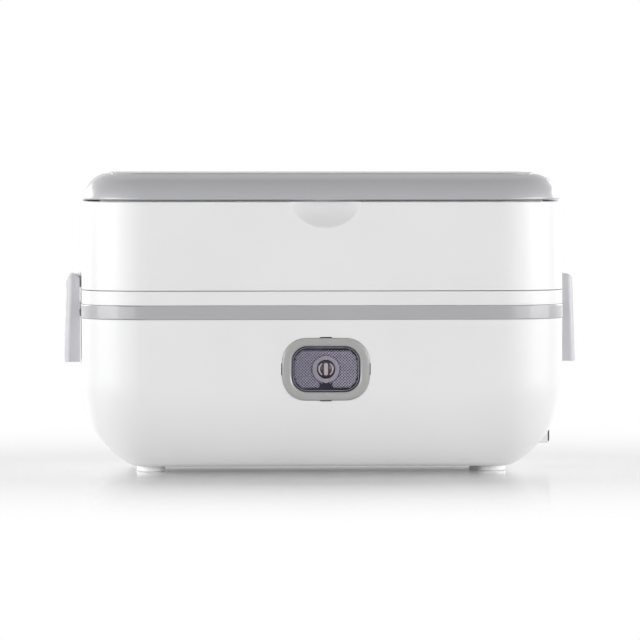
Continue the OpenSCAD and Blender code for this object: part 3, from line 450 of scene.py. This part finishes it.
@dataclass(frozen=True)
class SmokedPrism(Finish):
    """The smoked lens: dark tinted plastic, with painted glints along the seams between its prisms
    and a painted sheen over its left.
    """

    deep: Colour = srgb(14, 12, 22)
    # The crest colour is painted glint light, laid along the seams between the prisms.
    crest: Colour = srgb(206, 201, 221)
    # The colour of the painted sheen over the left of the lens.
    painted_sheen_tone: Colour = srgb(92, 89, 108)
    narrow: float = 2.8
    slack: float = 0.00002
    low: float = 0.0
    high: float = 0.001
    middle: float = 0.0
    reach: float = 0.014
    # Strength of the painted sheen at the left, and the share of it that is left at the right.
    painted_sheen: float = 0.45
    painted_sheen_rest: float = 0.12
    cloud_size: float = 0.004
    cloud_gloss: float = 0.12
    cloud_depth: float = 0.00001
    roughness: float = 0.2
    gloss: float = 0.25
    ior: float = 1.49

    def build(self, graph: Graph) -> bpy.types.Material:
        """Builds the tint from a point's depth, with painted glints along the prism seams and a
        painted sheen that thins to the right.
        """
        depth = graph.axis("Y")
        # Painted glints: light at the prisms' feet, where the seams run, fading up their faces, and
        # none on the plate set behind them.
        line = depth.spread(self.low, self.high, 1, 0) ** self.narrow
        line = line * (1 - depth.above(self.low + self.slack))
        cloud = graph.noise(self.cloud_size, 3.0)
        tone = graph.blend(line, self.deep, self.crest)
        # A painted sheen over the tint: strongest at the left of the lens, thinning to the right,
        # broken up by the cloud.
        beside = graph.axis("X") - self.middle
        across = beside.spread(-self.reach, self.reach * 0.5, 1, self.painted_sheen_rest)
        painted_sheen_mask = across * cloud.spread(0.25, 0.75, self.painted_sheen * 0.5, self.painted_sheen)
        return graph.finish(
            Base_Color=graph.blend(painted_sheen_mask, tone, self.painted_sheen_tone),
            Roughness=self.roughness + cloud.spread(0.3, 0.7, 0, self.cloud_gloss),
            Specular_IOR_Level=self.gloss,
            Normal=graph.relief(cloud, self.cloud_depth),
            IOR=self.ior,
        )


@dataclass(frozen=True)
class CircuitBoard(Finish):
    """A printed board: solder mask over copper tracks."""

    mask: Colour = (0.012, 0.09, 0.04)
    track: Colour = (0.03, 0.17, 0.07)
    pitch: float = 0.0019
    column_space: float = 0.66
    row_space: float = 0.68
    # Where the tracks break off: the size of the blotches, their stretch, and the limit.
    column_break: tuple[float, Point, float] = (0.009, (1, 3, 1), 0.5)
    row_break: tuple[float, Point, float] = (0.011, (3, 1, 1), 0.52)
    roughness: Pair = (0.32, 0.24)
    track_depth: float = 0.00003
    edge: float = 0.0001
    coat: float = 0.5
    coat_roughness: float = 0.15

    def build(self, graph: Graph) -> bpy.types.Material:
        """Builds the board with tracks on a grid that breaks off at random."""
        column = (graph.axis("X") / self.pitch).fraction()
        row = (graph.axis("Y") / self.pitch).fraction()
        along, across = (
            graph.noise(size, 0.0, stretch).above(limit)
            for size, stretch, limit in (self.column_break, self.row_break)
        )
        columns = column.above(self.column_space) * along
        lines = columns.most(row.above(self.row_space) * across)
        return graph.finish(
            Base_Color=graph.blend(lines, self.mask, self.track),
            Roughness=lines.spread(0, 1, *self.roughness),
            Coat_Weight=self.coat,
            Coat_Roughness=self.coat_roughness,
            Normal=graph.relief(lines, self.track_depth, self.edge),
        )


# ---------------------------------------------------------------- mesh building


@dataclass
class Mesh:
    """Vertices and faces that are gathered before they become an object."""

    points: list[Point] = field(default_factory=list)
    faces: list[tuple[int, ...]] = field(default_factory=list)

    def add(self, points: Iterable[Point]) -> list[int]:
        """Adds points and returns their numbers."""
        start = len(self.points)
        self.points.extend(tuple(p) for p in points)
        return list(range(start, len(self.points)))

    def bridge(self, one: Sequence[int], two: Sequence[int]) -> None:
        """Joins two closed rows of points with four-sided faces."""
        count = len(one)
        for i in range(count):
            j = (i + 1) % count
            self.faces.append((one[i], one[j], two[j], two[i]))

    def cap(self, row: Sequence[int]) -> None:
        """Closes a row of points with one face."""
        self.faces.append(tuple(row))

    def build(
        self, name: str, finish: Finish, body: str, slot: str, sharp: float = 40.0
    ) -> bpy.types.Object:
        """Makes the object.

        Args:
            name: name of the piece.
            finish: what its surface looks like.
            body: the body of the model that it rides on.
            slot: the record's material slot that it stands for; not used.
            sharp: edges over this many degrees stay sharp.

        Returns:
            The new object.
        """
        data = bpy.data.meshes.new(name)
        data.from_pydata(self.points, [], self.faces)
        cleaner = bmesh.new()
        cleaner.from_mesh(data)
        bmesh.ops.remove_doubles(cleaner, verts=cleaner.verts, dist=WELD)
        bmesh.ops.dissolve_degenerate(cleaner, edges=cleaner.edges, dist=WELD)
        bmesh.ops.recalc_face_normals(cleaner, faces=cleaner.faces)
        for face in cleaner.faces:
            face.smooth = True
        for edge in cleaner.edges:
            if len(edge.link_faces) == 2 and edge.calc_face_angle(0) > math.radians(sharp):
                edge.smooth = False
        cleaner.to_mesh(data)
        cleaner.free()
        piece = bpy.data.objects.new(name, data)
        bpy.context.scene.collection.objects.link(piece)
        data.materials.append(finish.material())
        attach(piece, body)
        LOG.info("%s: %d faces on %s", name, len(data.polygons), body)
        return piece


@dataclass(frozen=True)
class RoundBox:
    """An upright rectangle with round corners, which sections are swept round."""

    centre: Pair
    half_w: float
    half_h: float
    radius: float
    steps: int = 12

    def row(self, inset: float, depth: float) -> list[Point]:
        """The outline at a distance inside the rectangle, at a depth along Y."""
        r = self.radius - inset
        core_w = self.half_w - self.radius
        core_h = self.half_h - self.radius
        points = []
        for quarter in range(4):
            side = 1 if quarter in (0, 3) else -1
            rise = 1 if quarter in (0, 1) else -1
            for step in range(self.steps + 1):
                angle = math.radians(90 * quarter + 90 * step / self.steps)
                x = self.centre[0] + side * core_w + r * math.cos(angle)
                z = self.centre[1] + rise * core_h + r * math.sin(angle)
                points.append((x, depth, z))
        return points

    def room(self, x: float, z: float) -> float:
        """How far a point lies inside the outline, negative outside it."""
        over_x = abs(x - self.centre[0]) - (self.half_w - self.radius)
        over_z = abs(z - self.centre[1]) - (self.half_h - self.radius)
        if over_x > 0 and over_z > 0:
            return self.radius - math.hypot(over_x, over_z)
        return self.radius - max(over_x, over_z)

    def sweep(self, mesh: Mesh, section: Sequence[Pair], closed: bool) -> list[list[int]]:
        """Sweeps a section of (inset, depth) points round the rectangle.

        Args:
            mesh: gets the faces.
            section: the points of the section, in order.
            closed: whether the last point joins the first.

        Returns:
            The rows of points, one for each point of the section.
        """
        rows = [mesh.add(self.row(inset, depth)) for inset, depth in section]
        for one, two in zip(rows, rows[1:] + (rows[:1] if closed else [])):
            mesh.bridge(one, two)
        return rows

    def slab(self, mesh: Mesh, back: float, front: float, edge: float) -> None:
        """A plate that stands out towards -Y from back to front, its front edge rounded by edge."""
        section = [(0.0, back)] + [
            (edge * (1 - math.cos(a)), front + edge * (1 - math.sin(a)))
            for a in (math.radians(90 * k / EDGE_STEPS) for k in range(EDGE_STEPS + 1))
        ]
        rows = self.sweep(mesh, section, False)
        mesh.cap(rows[0])
        mesh.cap(rows[-1])


def between(
    mesh: Mesh, outer: RoundBox, inner: RoundBox, section: Sequence[Pair]
) -> list[list[int]]:
    """A surface between two outlines.

    Args:
        mesh: gets the faces.
        outer: the outline at place 0.
        inner: the outline at place 1.
        section: (place, depth) points, in order.

    Returns:
        The rows of points, one for each point of the section.
    """
    rows = []
    for place, depth in section:
        pairs = zip(outer.row(0, depth), inner.row(0, depth))
        rows.append(mesh.add(Vector(a).lerp(Vector(b), place) for a, b in pairs))
    for one, two in zip(rows, rows[1:]):
        mesh.bridge(one, two)
    return rows


def dress(finish: Finish, *nodes: str) -> None:
    """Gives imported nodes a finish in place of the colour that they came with."""
    for name in nodes:
        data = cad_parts[name].data
        data.materials.clear()
        data.materials.append(finish.material())
        LOG.info("%s: %s", name, finish.name)


# ---------------------------------------------------------------- the object's finishes

WHITE_ABS = MouldedPlastic("white_abs", srgb(236, 236, 237), roughness=0.36)
LID_GREY = MouldedPlastic("lid_grey", srgb(178, 177, 181), roughness=0.34, uneven=0.03, coat=0.4)
LATCH_GREY = MouldedPlastic("latch_grey_plastic", srgb(200, 199, 203), roughness=0.33)
BAND_GREY = MouldedPlastic("band_grey", srgb(170, 169, 173), roughness=0.34, uneven=0.02, coat=0.9)
BEZEL_GREY = MouldedPlastic("bezel_grey_plastic", srgb(165, 165, 164), roughness=0.26, coat=0.5)
MARK_GREY = MouldedPlastic("mark_grey", srgb(142, 137, 152), roughness=0.3, mottle=0.12)
MARK_DARK = MouldedPlastic("mark_dark", srgb(44, 34, 44), roughness=0.25, mottle=0.2)
MARK_PALE = MouldedPlastic("mark_pale", srgb(178, 164, 174), roughness=0.3, mottle=0.08)
LINER_WHITE = MouldedPlastic("liner_white", srgb(232, 233, 235), roughness=0.42)
# Dark plastic for the inner parts and the socket. On the pieces in the bezel's clip slots it paints
# the shade in the slots.
DARK_PLASTIC_AND_SLOT_SHADE = MouldedPlastic("dark_plastic_and_slot_shade", srgb(38, 38, 41), roughness=0.4)
DISH_STEEL = SheetSteel("dish_steel_sheet")
SCREW_PLATE = PlatedMetal("screw_plating")
BRASS = PlatedMetal("contact_brass_plate", srgb(205, 170, 96), 0.25)
SILICONE = SiliconeRubber("seal_silicone")
FOOT_RUBBER = SiliconeRubber("foot_silicone", srgb(240, 240, 241), 0.4)
BOARD = CircuitBoard("board_laminate")
WIRE_SLEEVE = MouldedPlastic("wire_sleeve_vinyl", srgb(44, 44, 48), roughness=0.45, grain=0.0008)
LED_CLEAR = MouldedPlastic("led_epoxy", srgb(228, 232, 236), roughness=0.12, coat=1.0)


# ---------------------------------------------------------------- sub-assemblies


@dataclass
class Base:
    """The heated base: shell, band, cover, feet, basin, heater and electronics."""

    plastic: Finish = WHITE_ABS
    band: Finish = BAND_GREY

    def build(self) -> None:
        """Dresses every piece of the base."""
        low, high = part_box("heating_plate")
        centre = ((low.x + high.x) / 2, (low.y + high.y) / 2)
        dress(self.plastic, "base_shell", "bottom_cover")
        dress(self.band, "rim_band")
        dress(FOOT_RUBBER, "feet")
        dress(DISH_STEEL, "basin")
        dress(TurnedMetal("plate_turned", centre=centre), "heating_plate")
        dress(SILICONE, "plate_seal")
        dress(PlatedMetal("heater_case", (0.55, 0.55, 0.56), 0.4), "ptc_heater", "heater_clamp")
        dress(SCREW_PLATE, "clamp_screws", "bottom_screws", "board_screws")
        dress(DARK_PLASTIC_AND_SLOT_SHADE, "thermostat", "board_parts")
        dress(LINER_WHITE, "thermal_fuse")
        dress(BOARD, "control_board", "switch_board")
        dress(WIRE_SLEEVE, "inlet_wires", "heater_wires")


@dataclass
class PowerInlet:
    """The socket on the right-hand side."""

    def build(self) -> None:
        """Dresses the housing and its pins."""
        dress(DARK_PLASTIC_AND_SLOT_SHADE, "inlet_housing")
        dress(BRASS, "inlet_pins")


@dataclass(frozen=True)
class ButtonPlace:
    """Where the button sits in the front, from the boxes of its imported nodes.

    Points and halves are (along X, along Z), and front and back are depths along Y.
    """

    middle: Pair
    lens_half: Pair
    front: float
    back: float
    bezel_half: Pair
    bezel_front: float

    @classmethod
    def measured(cls) -> "ButtonPlace":
        """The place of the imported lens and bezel."""
        low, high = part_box("button_lens")
        outer_low, outer_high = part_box("button_bezel")
        return cls(
            middle=((low.x + high.x) / 2, (low.z + high.z) / 2),
            lens_half=((high.x - low.x) / 2, (high.z - low.z) / 2),
            front=low.y,
            back=high.y,
            bezel_half=((outer_high.x - outer_low.x) / 2, (outer_high.z - outer_low.z) / 2),
            bezel_front=outer_low.y,
        )

    def outline(
        self, half_w: float, half_h: float, radius: float, at: Pair = (0.0, 0.0)
    ) -> RoundBox:
        """An outline round a point that is given from the button's middle."""
        return RoundBox((self.middle[0] + at[0], self.middle[1] + at[1]), half_w, half_h, radius)


@dataclass
class Bezel:
    """The pale bezel, one soft roll from its outer edge to the window, and four dark pieces in its
    clip slots that paint the shade there.
    """

    corner: float = 10.0 * MM
    window: Pair = (29.4 * MM, 19.6 * MM)
    window_corner: float = 6.8 * MM
    flange: float = 2.05 * MM
    lap: float = 0.25 * MM
    # The roll's section: share of the way inwards, and millimetres behind the front.
    roll: tuple[Pair, ...] = (
        (0.0, 0.47), (0.02, 0.4), (0.06, 0.33), (0.14, 0.23), (0.26, 0.12), (0.4, 0.04),
        (0.56, 0.0), (0.72, 0.03), (0.86, 0.14), (0.94, 0.3), (0.98, 0.48), (1.0, 0.72),
    )
    crease: float = 60.0
    # Sizes of the dark pieces in the clip slots, which paint the shade there.
    clip_half: float = 2.5 * MM
    clip_thin: float = 0.26 * MM
    clip_out: float = 0.33 * MM
    clip_corner: float = 0.247 * MM
    clip_edge: float = 0.13 * MM
    clip_back: float = 1.2 * MM
    clip_front: float = 0.35 * MM

    def build(self, place: ButtonPlace) -> None:
        """Builds the bezel and the painted shade in its clip slots."""
        half_w, half_h = (half - self.flange for half in place.bezel_half)
        self._ring(place, half_w, half_h)
        self._slot_shade_clips(place, half_w, half_h)

    def _ring(self, place: ButtonPlace, half_w: float, half_h: float) -> None:
        """The roll, lapped over the shell's edge, and the neck behind it."""
        lap = self.lap
        outer = place.outline(half_w + lap, half_h + lap, self.corner + lap)
        neck = place.outline(half_w, half_h, self.corner)
        inner = place.outline(self.window[0] / 2, self.window[1] / 2, self.window_corner)
        section = [(share, place.bezel_front + drop * MM) for share, drop in self.roll]
        section.append((1.0, place.back))
        mesh = Mesh()
        rows = between(mesh, outer, inner, section)
        shoulder, foot = (mesh.add(neck.row(0, depth)) for depth in (section[0][1], place.back))
        for one, two in ((rows[-1], foot), (foot, shoulder), (shoulder, rows[0])):
            mesh.bridge(one, two)
        ring = mesh.build("bezel_roll", BEZEL_GREY, "base", "bezel_grey", self.crease)
        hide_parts("button_bezel")

    def _slot_shade_clips(self, place: ButtonPlace, half_w: float, half_h: float) -> None:
        """Dark pieces down in the four slots round the bezel, which paint the shade in the slots.
        """
        back, front = place.front + self.clip_back, place.front + self.clip_front
        long, thin = self.clip_half, self.clip_thin
        mesh = Mesh()
        for side in (-1, 1):
            above = (0.0, side * (half_h + self.clip_out))
            beside = (side * (half_w + self.clip_out), 0.0)
            for at, w, h in ((above, long, thin), (beside, thin, long)):
                clip = place.outline(w, h, self.clip_corner, at)
                clip.slab(mesh, back, front, self.clip_edge)
        # These dark pieces are painted shade in the bezel's slots.
        mesh.build("bezel_slot_shade", DARK_PLASTIC_AND_SLOT_SHADE, "base", "dark_plastic")


@dataclass
class PrismLens:
    """The smoked lens: a rounded rim, a plain border and a field of four-sided prisms."""

    corner: float = 6.6 * MM
    # The rim's section: millimetres inwards, and millimetres behind the front.
    rim: tuple[Pair, ...] = ((0.0, 0.14), (0.05, 0.05), (0.14, 0.0), (0.24, 0.0))
    slope: Pair = (0.4 * MM, 0.6 * MM)
    slope_rise: float = 0.1 * MM
    plate_drop: float = 0.06 * MM
    prism: float = 1.25 * MM
    sunk: float = 0.32 * MM
    crest: float = 0.28 * MM
    border: Pair = (1.2 * MM, 1.65 * MM)
    mark_room: float = 0.125 * MM
    panel: Pair = (2.6 * MM, 5.9 * MM)
    crease: float = 12.0

    def build(self, place: ButtonPlace, mark_radius: float) -> None:
        """Builds the lens, with room for a mark of the given radius."""
        outline = place.outline(*place.lens_half, self.corner)
        ground = place.front + self.sunk
        plate = ground + self.plate_drop
        section = [(0.0, place.back)]
        section += [(inset * MM, place.front + drop * MM) for inset, drop in self.rim]
        section += [(self.slope[0], plate - self.slope_rise), (self.slope[1], plate)]
        mesh = Mesh()
        rows = outline.sweep(mesh, section, False)
        mesh.cap(rows[0])
        mesh.cap(rows[-1])
        self._prisms(mesh, place, ground, mark_radius)
        top = ground - self.crest
        # The tint paints glints along the prism seams and a sheen over the left of the lens.
        tint = SmokedPrism("smoked_prism_painted_light", low=ground, high=top, middle=place.middle[0])
        lens = mesh.build("prism_lens", tint, "power_button", "smoked_lens", self.crease)
        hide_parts("button_lens")

    def _prisms(
        self, mesh: Mesh, place: ButtonPlace, ground: float, mark_radius: float
    ) -> None:
        """Rows of pyramids, set as diamonds, wherever the border, mark and panel leave room."""
        half = self.prism / 2
        columns, rows = (math.ceil(size / half) for size in place.lens_half)
        for i in range(-columns, columns + 1):
            for j in range(-rows, rows + 1):
                u, v = i * half, j * half
                if (i + j) % 2 or not self._has_prism(place, u, v, mark_radius):
                    continue
                x, z = place.middle[0] + u, place.middle[1] + v
                foot = [(x + half, z), (x, z + half), (x - half, z), (x, z - half)]
                corners = mesh.add((a, ground, b) for a, b in foot)
                (peak,) = mesh.add([(x, ground - self.crest, z)])
                for k, corner in enumerate(corners):
                    mesh.faces.append((corner, corners[(k + 1) % len(corners)], peak))

    def _has_prism(self, place: ButtonPlace, u: float, v: float, mark_radius: float) -> bool:
        """Whether a prism stands at a point that is given from the middle of the lens."""
        outline = place.outline(*place.lens_half, self.corner)
        beside, above = self.border
        inside = outline.room(place.middle[0] + u, place.middle[1] + v) > beside
        inside = inside and abs(v) < place.lens_half[1] - above
        under_mark = math.hypot(u, v) < mark_radius + self.mark_room
        in_panel = abs(u) < self.panel[0] and v < -self.panel[1]
        return inside and not under_mark and not in_panel


@dataclass
class PowerMark:
    """The power mark: a ring, a dark disc, a bar between two arcs, and fine ticks."""

    radius: float = 5.8 * MM
    width: float = 1.8 * MM
    ring_rise: float = 0.14 * MM
    ring_edge: float = 0.12 * MM
    ring_dip: float = 0.04 * MM
    disc_rise: float = 0.08 * MM
    disc_edge: float = 0.05 * MM
    line_rise: float = 0.25 * MM
    bar: Pair = (0.85 * MM, 2.7 * MM)
    bar_corner: float = 0.833 * MM
    bar_edge: float = 0.1 * MM
    # Share of the disc's radius at which the two arcs run.
    arc_place: float = 0.72
    arc_half: float = 0.3 * MM
    arc_edge: float = 0.12 * MM
    arc_starts: Pair = (125.0, -55.0)
    arc_turn: float = 110.0
    arc_steps: int = 14
    tick_rise: float = 0.08 * MM
    tick_half: float = 0.13 * MM
    tick_corner: float = 0.117 * MM
    tick_edge: float = 0.052 * MM
    top_tick: float = 1.1 * MM
    top_at: Pair = (0.1 * MM, 5.0 * MM)
    cup_low: float = 5.75 * MM
    cup_half: float = 0.6 * MM
    cup_tall: float = 0.85 * MM
    cup_side: float = 0.48 * MM

    def build(self, place: ButtonPlace, ground: float) -> None:
        """Builds the ring, the disc and the lines on the ground of the lens."""
        ring, disc, lines = Mesh(), Mesh(), Mesh()
        top = place.front - self.ring_rise
        edge, width = self.ring_edge, self.width
        section = [(0.0, ground), (0.0, top + edge), (edge, top)]
        section += [(width * 0.5, top + self.ring_dip)]
        section += [(width - edge, top), (width, top + edge), (width, ground)]
        place.outline(*(self.radius,) * 3).sweep(ring, section, True)
        inner = self.radius - width
        level = ground - self.disc_rise
        place.outline(inner, inner, inner).slab(disc, ground, level, self.disc_edge)
        line_top = level - self.line_rise
        place.outline(*self.bar, self.bar_corner).slab(lines, level, line_top, self.bar_edge)
        for start in self.arc_starts:
            self._arc(lines, place, inner * self.arc_place, start, (level, line_top))
        for half_w, half_h, at in self._ticks():
            tick = place.outline(half_w, half_h, self.tick_corner, at)
            tick.slab(lines, ground, top - self.tick_rise, self.tick_edge)
        piece = ring.build("mark_ring", MARK_GREY, "power_button", "mark_silver")
        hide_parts("button_mark")
        disc.build("mark_disc", MARK_DARK, "power_button", "smoked_lens")
        lines.build("mark_lines", MARK_PALE, "power_button", "mark_silver")

    def _ticks(self) -> list[tuple[float, float, Pair]]:
        """Half sizes and places of the tick over the disc and of the small cup under it."""
        thin, tall, low = self.tick_half, self.cup_tall, self.cup_low
        walls = [(thin, tall, (side * self.cup_side, tall - low)) for side in (-1, 1)]
        return [(thin, self.top_tick, self.top_at), (self.cup_half, thin, (0.0, -low)), *walls]

    def _arc(
        self, mesh: Mesh, place: ButtonPlace, radius: float, start: float, depths: Pair
    ) -> None:
        """A raised arc round the button's middle.

        Args:
            mesh: gets the faces.
            place: where the button sits.
            radius: of the arc's middle line.
            start: the angle that the arc starts at, in degrees.
            depths: of its back and its front.
        """
        half, edge = self.arc_half, self.arc_edge
        back, front = depths
        section = [(-half, back), (-half, front + edge), (edge - half, front)]
        section += [(half - edge, front), (half, front + edge), (half, back)]
        x, z = place.middle
        rows = []
        for k in range(self.arc_steps + 1):
            a = math.radians(start + self.arc_turn * k / self.arc_steps)
            spokes = [(radius + out, depth) for out, depth in section]
            rows.append(mesh.add((x + r * math.cos(a), y, z + r * math.sin(a)) for r, y in spokes))
        for one, two in zip(rows, rows[1:]):
            mesh.bridge(one, two)
        mesh.cap(rows[0])
        mesh.cap(rows[-1])


@dataclass
class PowerButton:
    """The lit button in the front: bezel, smoked lens, mark, plunger, lamp and switch."""

    bezel: Bezel = field(default_factory=Bezel)
    lens: PrismLens = field(default_factory=PrismLens)
    mark: PowerMark = field(default_factory=PowerMark)

    def build(self) -> None:
        """Dresses the inner pieces, and builds the ones that show."""
        dress(LINER_WHITE, "button_plunger")
        dress(DARK_PLASTIC_AND_SLOT_SHADE, "tact_switch")
        dress(LED_CLEAR, "indicator_led")
        place = ButtonPlace.measured()
        self.bezel.build(place)
        self.lens.build(place, self.mark.radius)
        self.mark.build(place, place.front + self.lens.sunk)


@dataclass
class LowerDish:
    """The dish that stands in the base."""

    def build(self) -> None:
        """Dresses the dish."""
        dress(DISH_STEEL, "lower_dish")


@dataclass
class UpperTier:
    """The tier that lifts off: collar, shell, seal, dish and the pins of its hinges."""

    def build(self) -> None:
        """Dresses the tier."""
        dress(WHITE_ABS, "tier_collar", "tier_shell")
        dress(SILICONE, "tier_seal")
        dress(DISH_STEEL, "upper_dish")
        dress(SCREW_PLATE, "hinge_pins", "latch_pins")


@dataclass
class Latches:
    """The two latches at the sides."""

    def build(self) -> None:
        """Dresses the latches."""
        dress(LATCH_GREY, "latch_left", "latch_right")


@dataclass
class Lid:
    """The lid: cover, top panel, lining, seal, steam plug and screws."""

    def build(self) -> None:
        """Dresses the lid."""
        dress(LID_GREY, "lid_cover", "lid_panel")
        dress(LINER_WHITE, "lid_liner")
        dress(SILICONE, "lid_seal", "steam_plug")
        dress(SCREW_PLATE, "lid_screws")


# ---------------------------------------------------------------- studio


def direction(azimuth: float, elevation: float) -> Vector:
    """The direction seen from the object, with azimuth 0 in front of it, both in degrees."""
    a, e = math.radians(azimuth), math.radians(elevation)
    return Vector((math.sin(a) * math.cos(e), -math.cos(a) * math.cos(e), math.sin(e)))


def put_up(
    name: str, data: bpy.types.ID, target: Point, away: Vector, distance: float
) -> bpy.types.Object:
    """Puts a lamp or a camera up so that it points at a target.

    Args:
        name: name of the new object.
        data: the lamp or the camera.
        target: the point that it looks at.
        away: the direction from the target to it.
        distance: from the target, in metres.

    Returns:
        The new object.
    """
    made = bpy.data.objects.new(name, data)
    made.location = Vector(target) + away * distance
    made.rotation_euler = away.to_track_quat("Z", "Y").to_euler()
    bpy.context.scene.collection.objects.link(made)
    return made


@dataclass(frozen=True)
class Softbox:
    """A rectangular area lamp that points at the object."""

    name: str
    azimuth: float
    elevation: float
    distance: float
    size: Pair
    power: float
    target: Point = (0.0, 0.0, 0.06)

    def build(self) -> None:
        """Makes the lamp."""
        lamp = bpy.data.lights.new(self.name, "AREA")
        lamp.shape = "RECTANGLE"
        lamp.size, lamp.size_y = self.size
        lamp.energy = self.power
        put_up(self.name, lamp, self.target, direction(self.azimuth, self.elevation), self.distance)


@dataclass
class Studio:
    """A pale floor that runs out into white, soft lamps all round, and the camera.

    Azimuths and elevations are in degrees and powers in watts. The camera's focal length and
    sensor are in millimetres, and the other lengths in metres.
    """

    azimuth: float = -3.1
    elevation: float = 1.94
    distance: float = 2.385
    focal: float = 305.9
    sensor: float = 36.0
    far_end: float = 100.0
    aim: Point = (0.00073, 0.0, 0.0646)
    ambient: float = 0.06
    floor_reach: float = 9.0
    floor_tone: float = 0.7
    floor_uneven: Pair = (0.996, 1.0)
    floor_cloud: float = 0.5
    floor_bounce: float = 0.95
    floor_glow: float = 0.14
    floor_ior: float = 1.5
    floor_roughness: float = 0.17
    fade: Pair = (0.11, 0.36)
    fade_stretch: float = 0.6
    side_lamps: tuple[Softbox, ...] = (
        Softbox("softbox", 75, 8, 1.6, (1.2, 0.5), 13.1),
        Softbox("front_softbox", 45, 8, 1.6, (1.2, 0.5), 7.4),
        Softbox("back_softbox", 140, 10, 1.8, (1.2, 0.5), 8.0),
    )
    top_lamp: Softbox = Softbox("top_softbox", 180, 60, 2.2, (1.6, 1.2), 3.5)

    def build(self) -> None:
        """Builds the world, the floor, the lamps and the camera."""
        self._world()
        self._floor()
        for lamp in self.side_lamps:
            for name, side in (("left", -1), ("right", 1)):
                replace(lamp, name=f"{name}_{lamp.name}", azimuth=side * lamp.azimuth).build()
        self.top_lamp.build()
        self._camera()
        bpy.context.scene.view_settings.view_transform = "Standard"

    def _seen(self, graph: Graph) -> Value:
        """1 for rays that show a background, by eye, in a gloss or through glass."""
        path = graph.node("ShaderNodeLightPath")
        gloss = path.value("Is Glossy Ray").most(path.value("Is Transmission Ray"))
        return path.value("Is Camera Ray").most(gloss)

    def _world(self) -> None:
        """White where it is seen, softer as a light."""
        world = bpy.data.worlds.new("studio")
        bpy.context.scene.world = world
        graph = Graph(world, "ShaderNodeOutputWorld")
        soft, white = (
            graph.node("ShaderNodeBackground", {}, {"Color": WHITE, "Strength": strength})
            for strength in (self.ambient, 1.0)
        )
        graph.end(graph.mix(self._seen(graph), soft, white))

    def _floor(self) -> None:
        """A plain pale floor that keeps the object's shadow and runs out into white."""
        graph = Graph(bpy.data.materials.new("studio_floor"))
        x, y = graph.axis("X") * self.fade_stretch, graph.axis("Y")
        left = ((x * x + y * y) ** 0.5).spread(*self.fade, 1, 0)
        shown = graph.mix(1 - left * left, self._near_floor(graph), graph.glow(1.0))
        bounce = graph.node("ShaderNodeBsdfDiffuse", {}, {"Color": (self.floor_bounce,) * 3})
        graph.end(graph.mix(self._seen(graph), bounce, shown))
        reach = self.floor_reach
        corners = [(-reach, -reach, 0), (reach, -reach, 0), (reach, reach, 0), (-reach, reach, 0)]
        data = bpy.data.meshes.new("floor")
        data.from_pydata(corners, [], [(0, 1, 2, 3)])
        data.materials.append(graph.owner)
        floor = bpy.data.objects.new("floor", data)
        bpy.context.scene.collection.objects.link(floor)

    def _near_floor(self, graph: Graph) -> Node:
        """The floor round the object: matt and a little lifted, with a sheen at low angles."""
        dark, pale = ((self.floor_tone * uneven,) * 3 for uneven in self.floor_uneven)
        tone = graph.blend(graph.noise(self.floor_cloud, 1.0), dark, pale)
        matt = graph.node("ShaderNodeBsdfDiffuse", {}, {"Color": tone})
        lit = graph.node("ShaderNodeAddShader", {}, {0: matt, 1: graph.glow(self.floor_glow)})
        gloss = {"Color": WHITE, "Roughness": self.floor_roughness}
        sheen = graph.node("ShaderNodeBsdfGlossy", {}, gloss)
        grazing = graph.node("ShaderNodeFresnel", {}, {"IOR": self.floor_ior})
        return graph.mix(grazing, lit, sheen)

    def _camera(self) -> None:
        """The photograph's viewpoint."""
        lens = bpy.data.cameras.new("camera")
        lens.lens = self.focal
        lens.sensor_width = self.sensor
        lens.clip_end = self.far_end
        away = direction(self.azimuth, self.elevation)
        bpy.context.scene.camera = put_up("camera", lens, self.aim, away, self.distance)


def main() -> None:
    """Builds the studio, then each sub-assembly in order."""
    logging.basicConfig(level=logging.INFO, format="%(name)s: %(message)s")
    assemblies = [
        Studio(), Base(), PowerInlet(), PowerButton(), LowerDish(), UpperTier(), Latches(), Lid(),
    ]
    for assembly in assemblies:
        assembly.build()
        LOG.info("built %s", type(assembly).__name__)


if __name__ == "__main__":
    main()
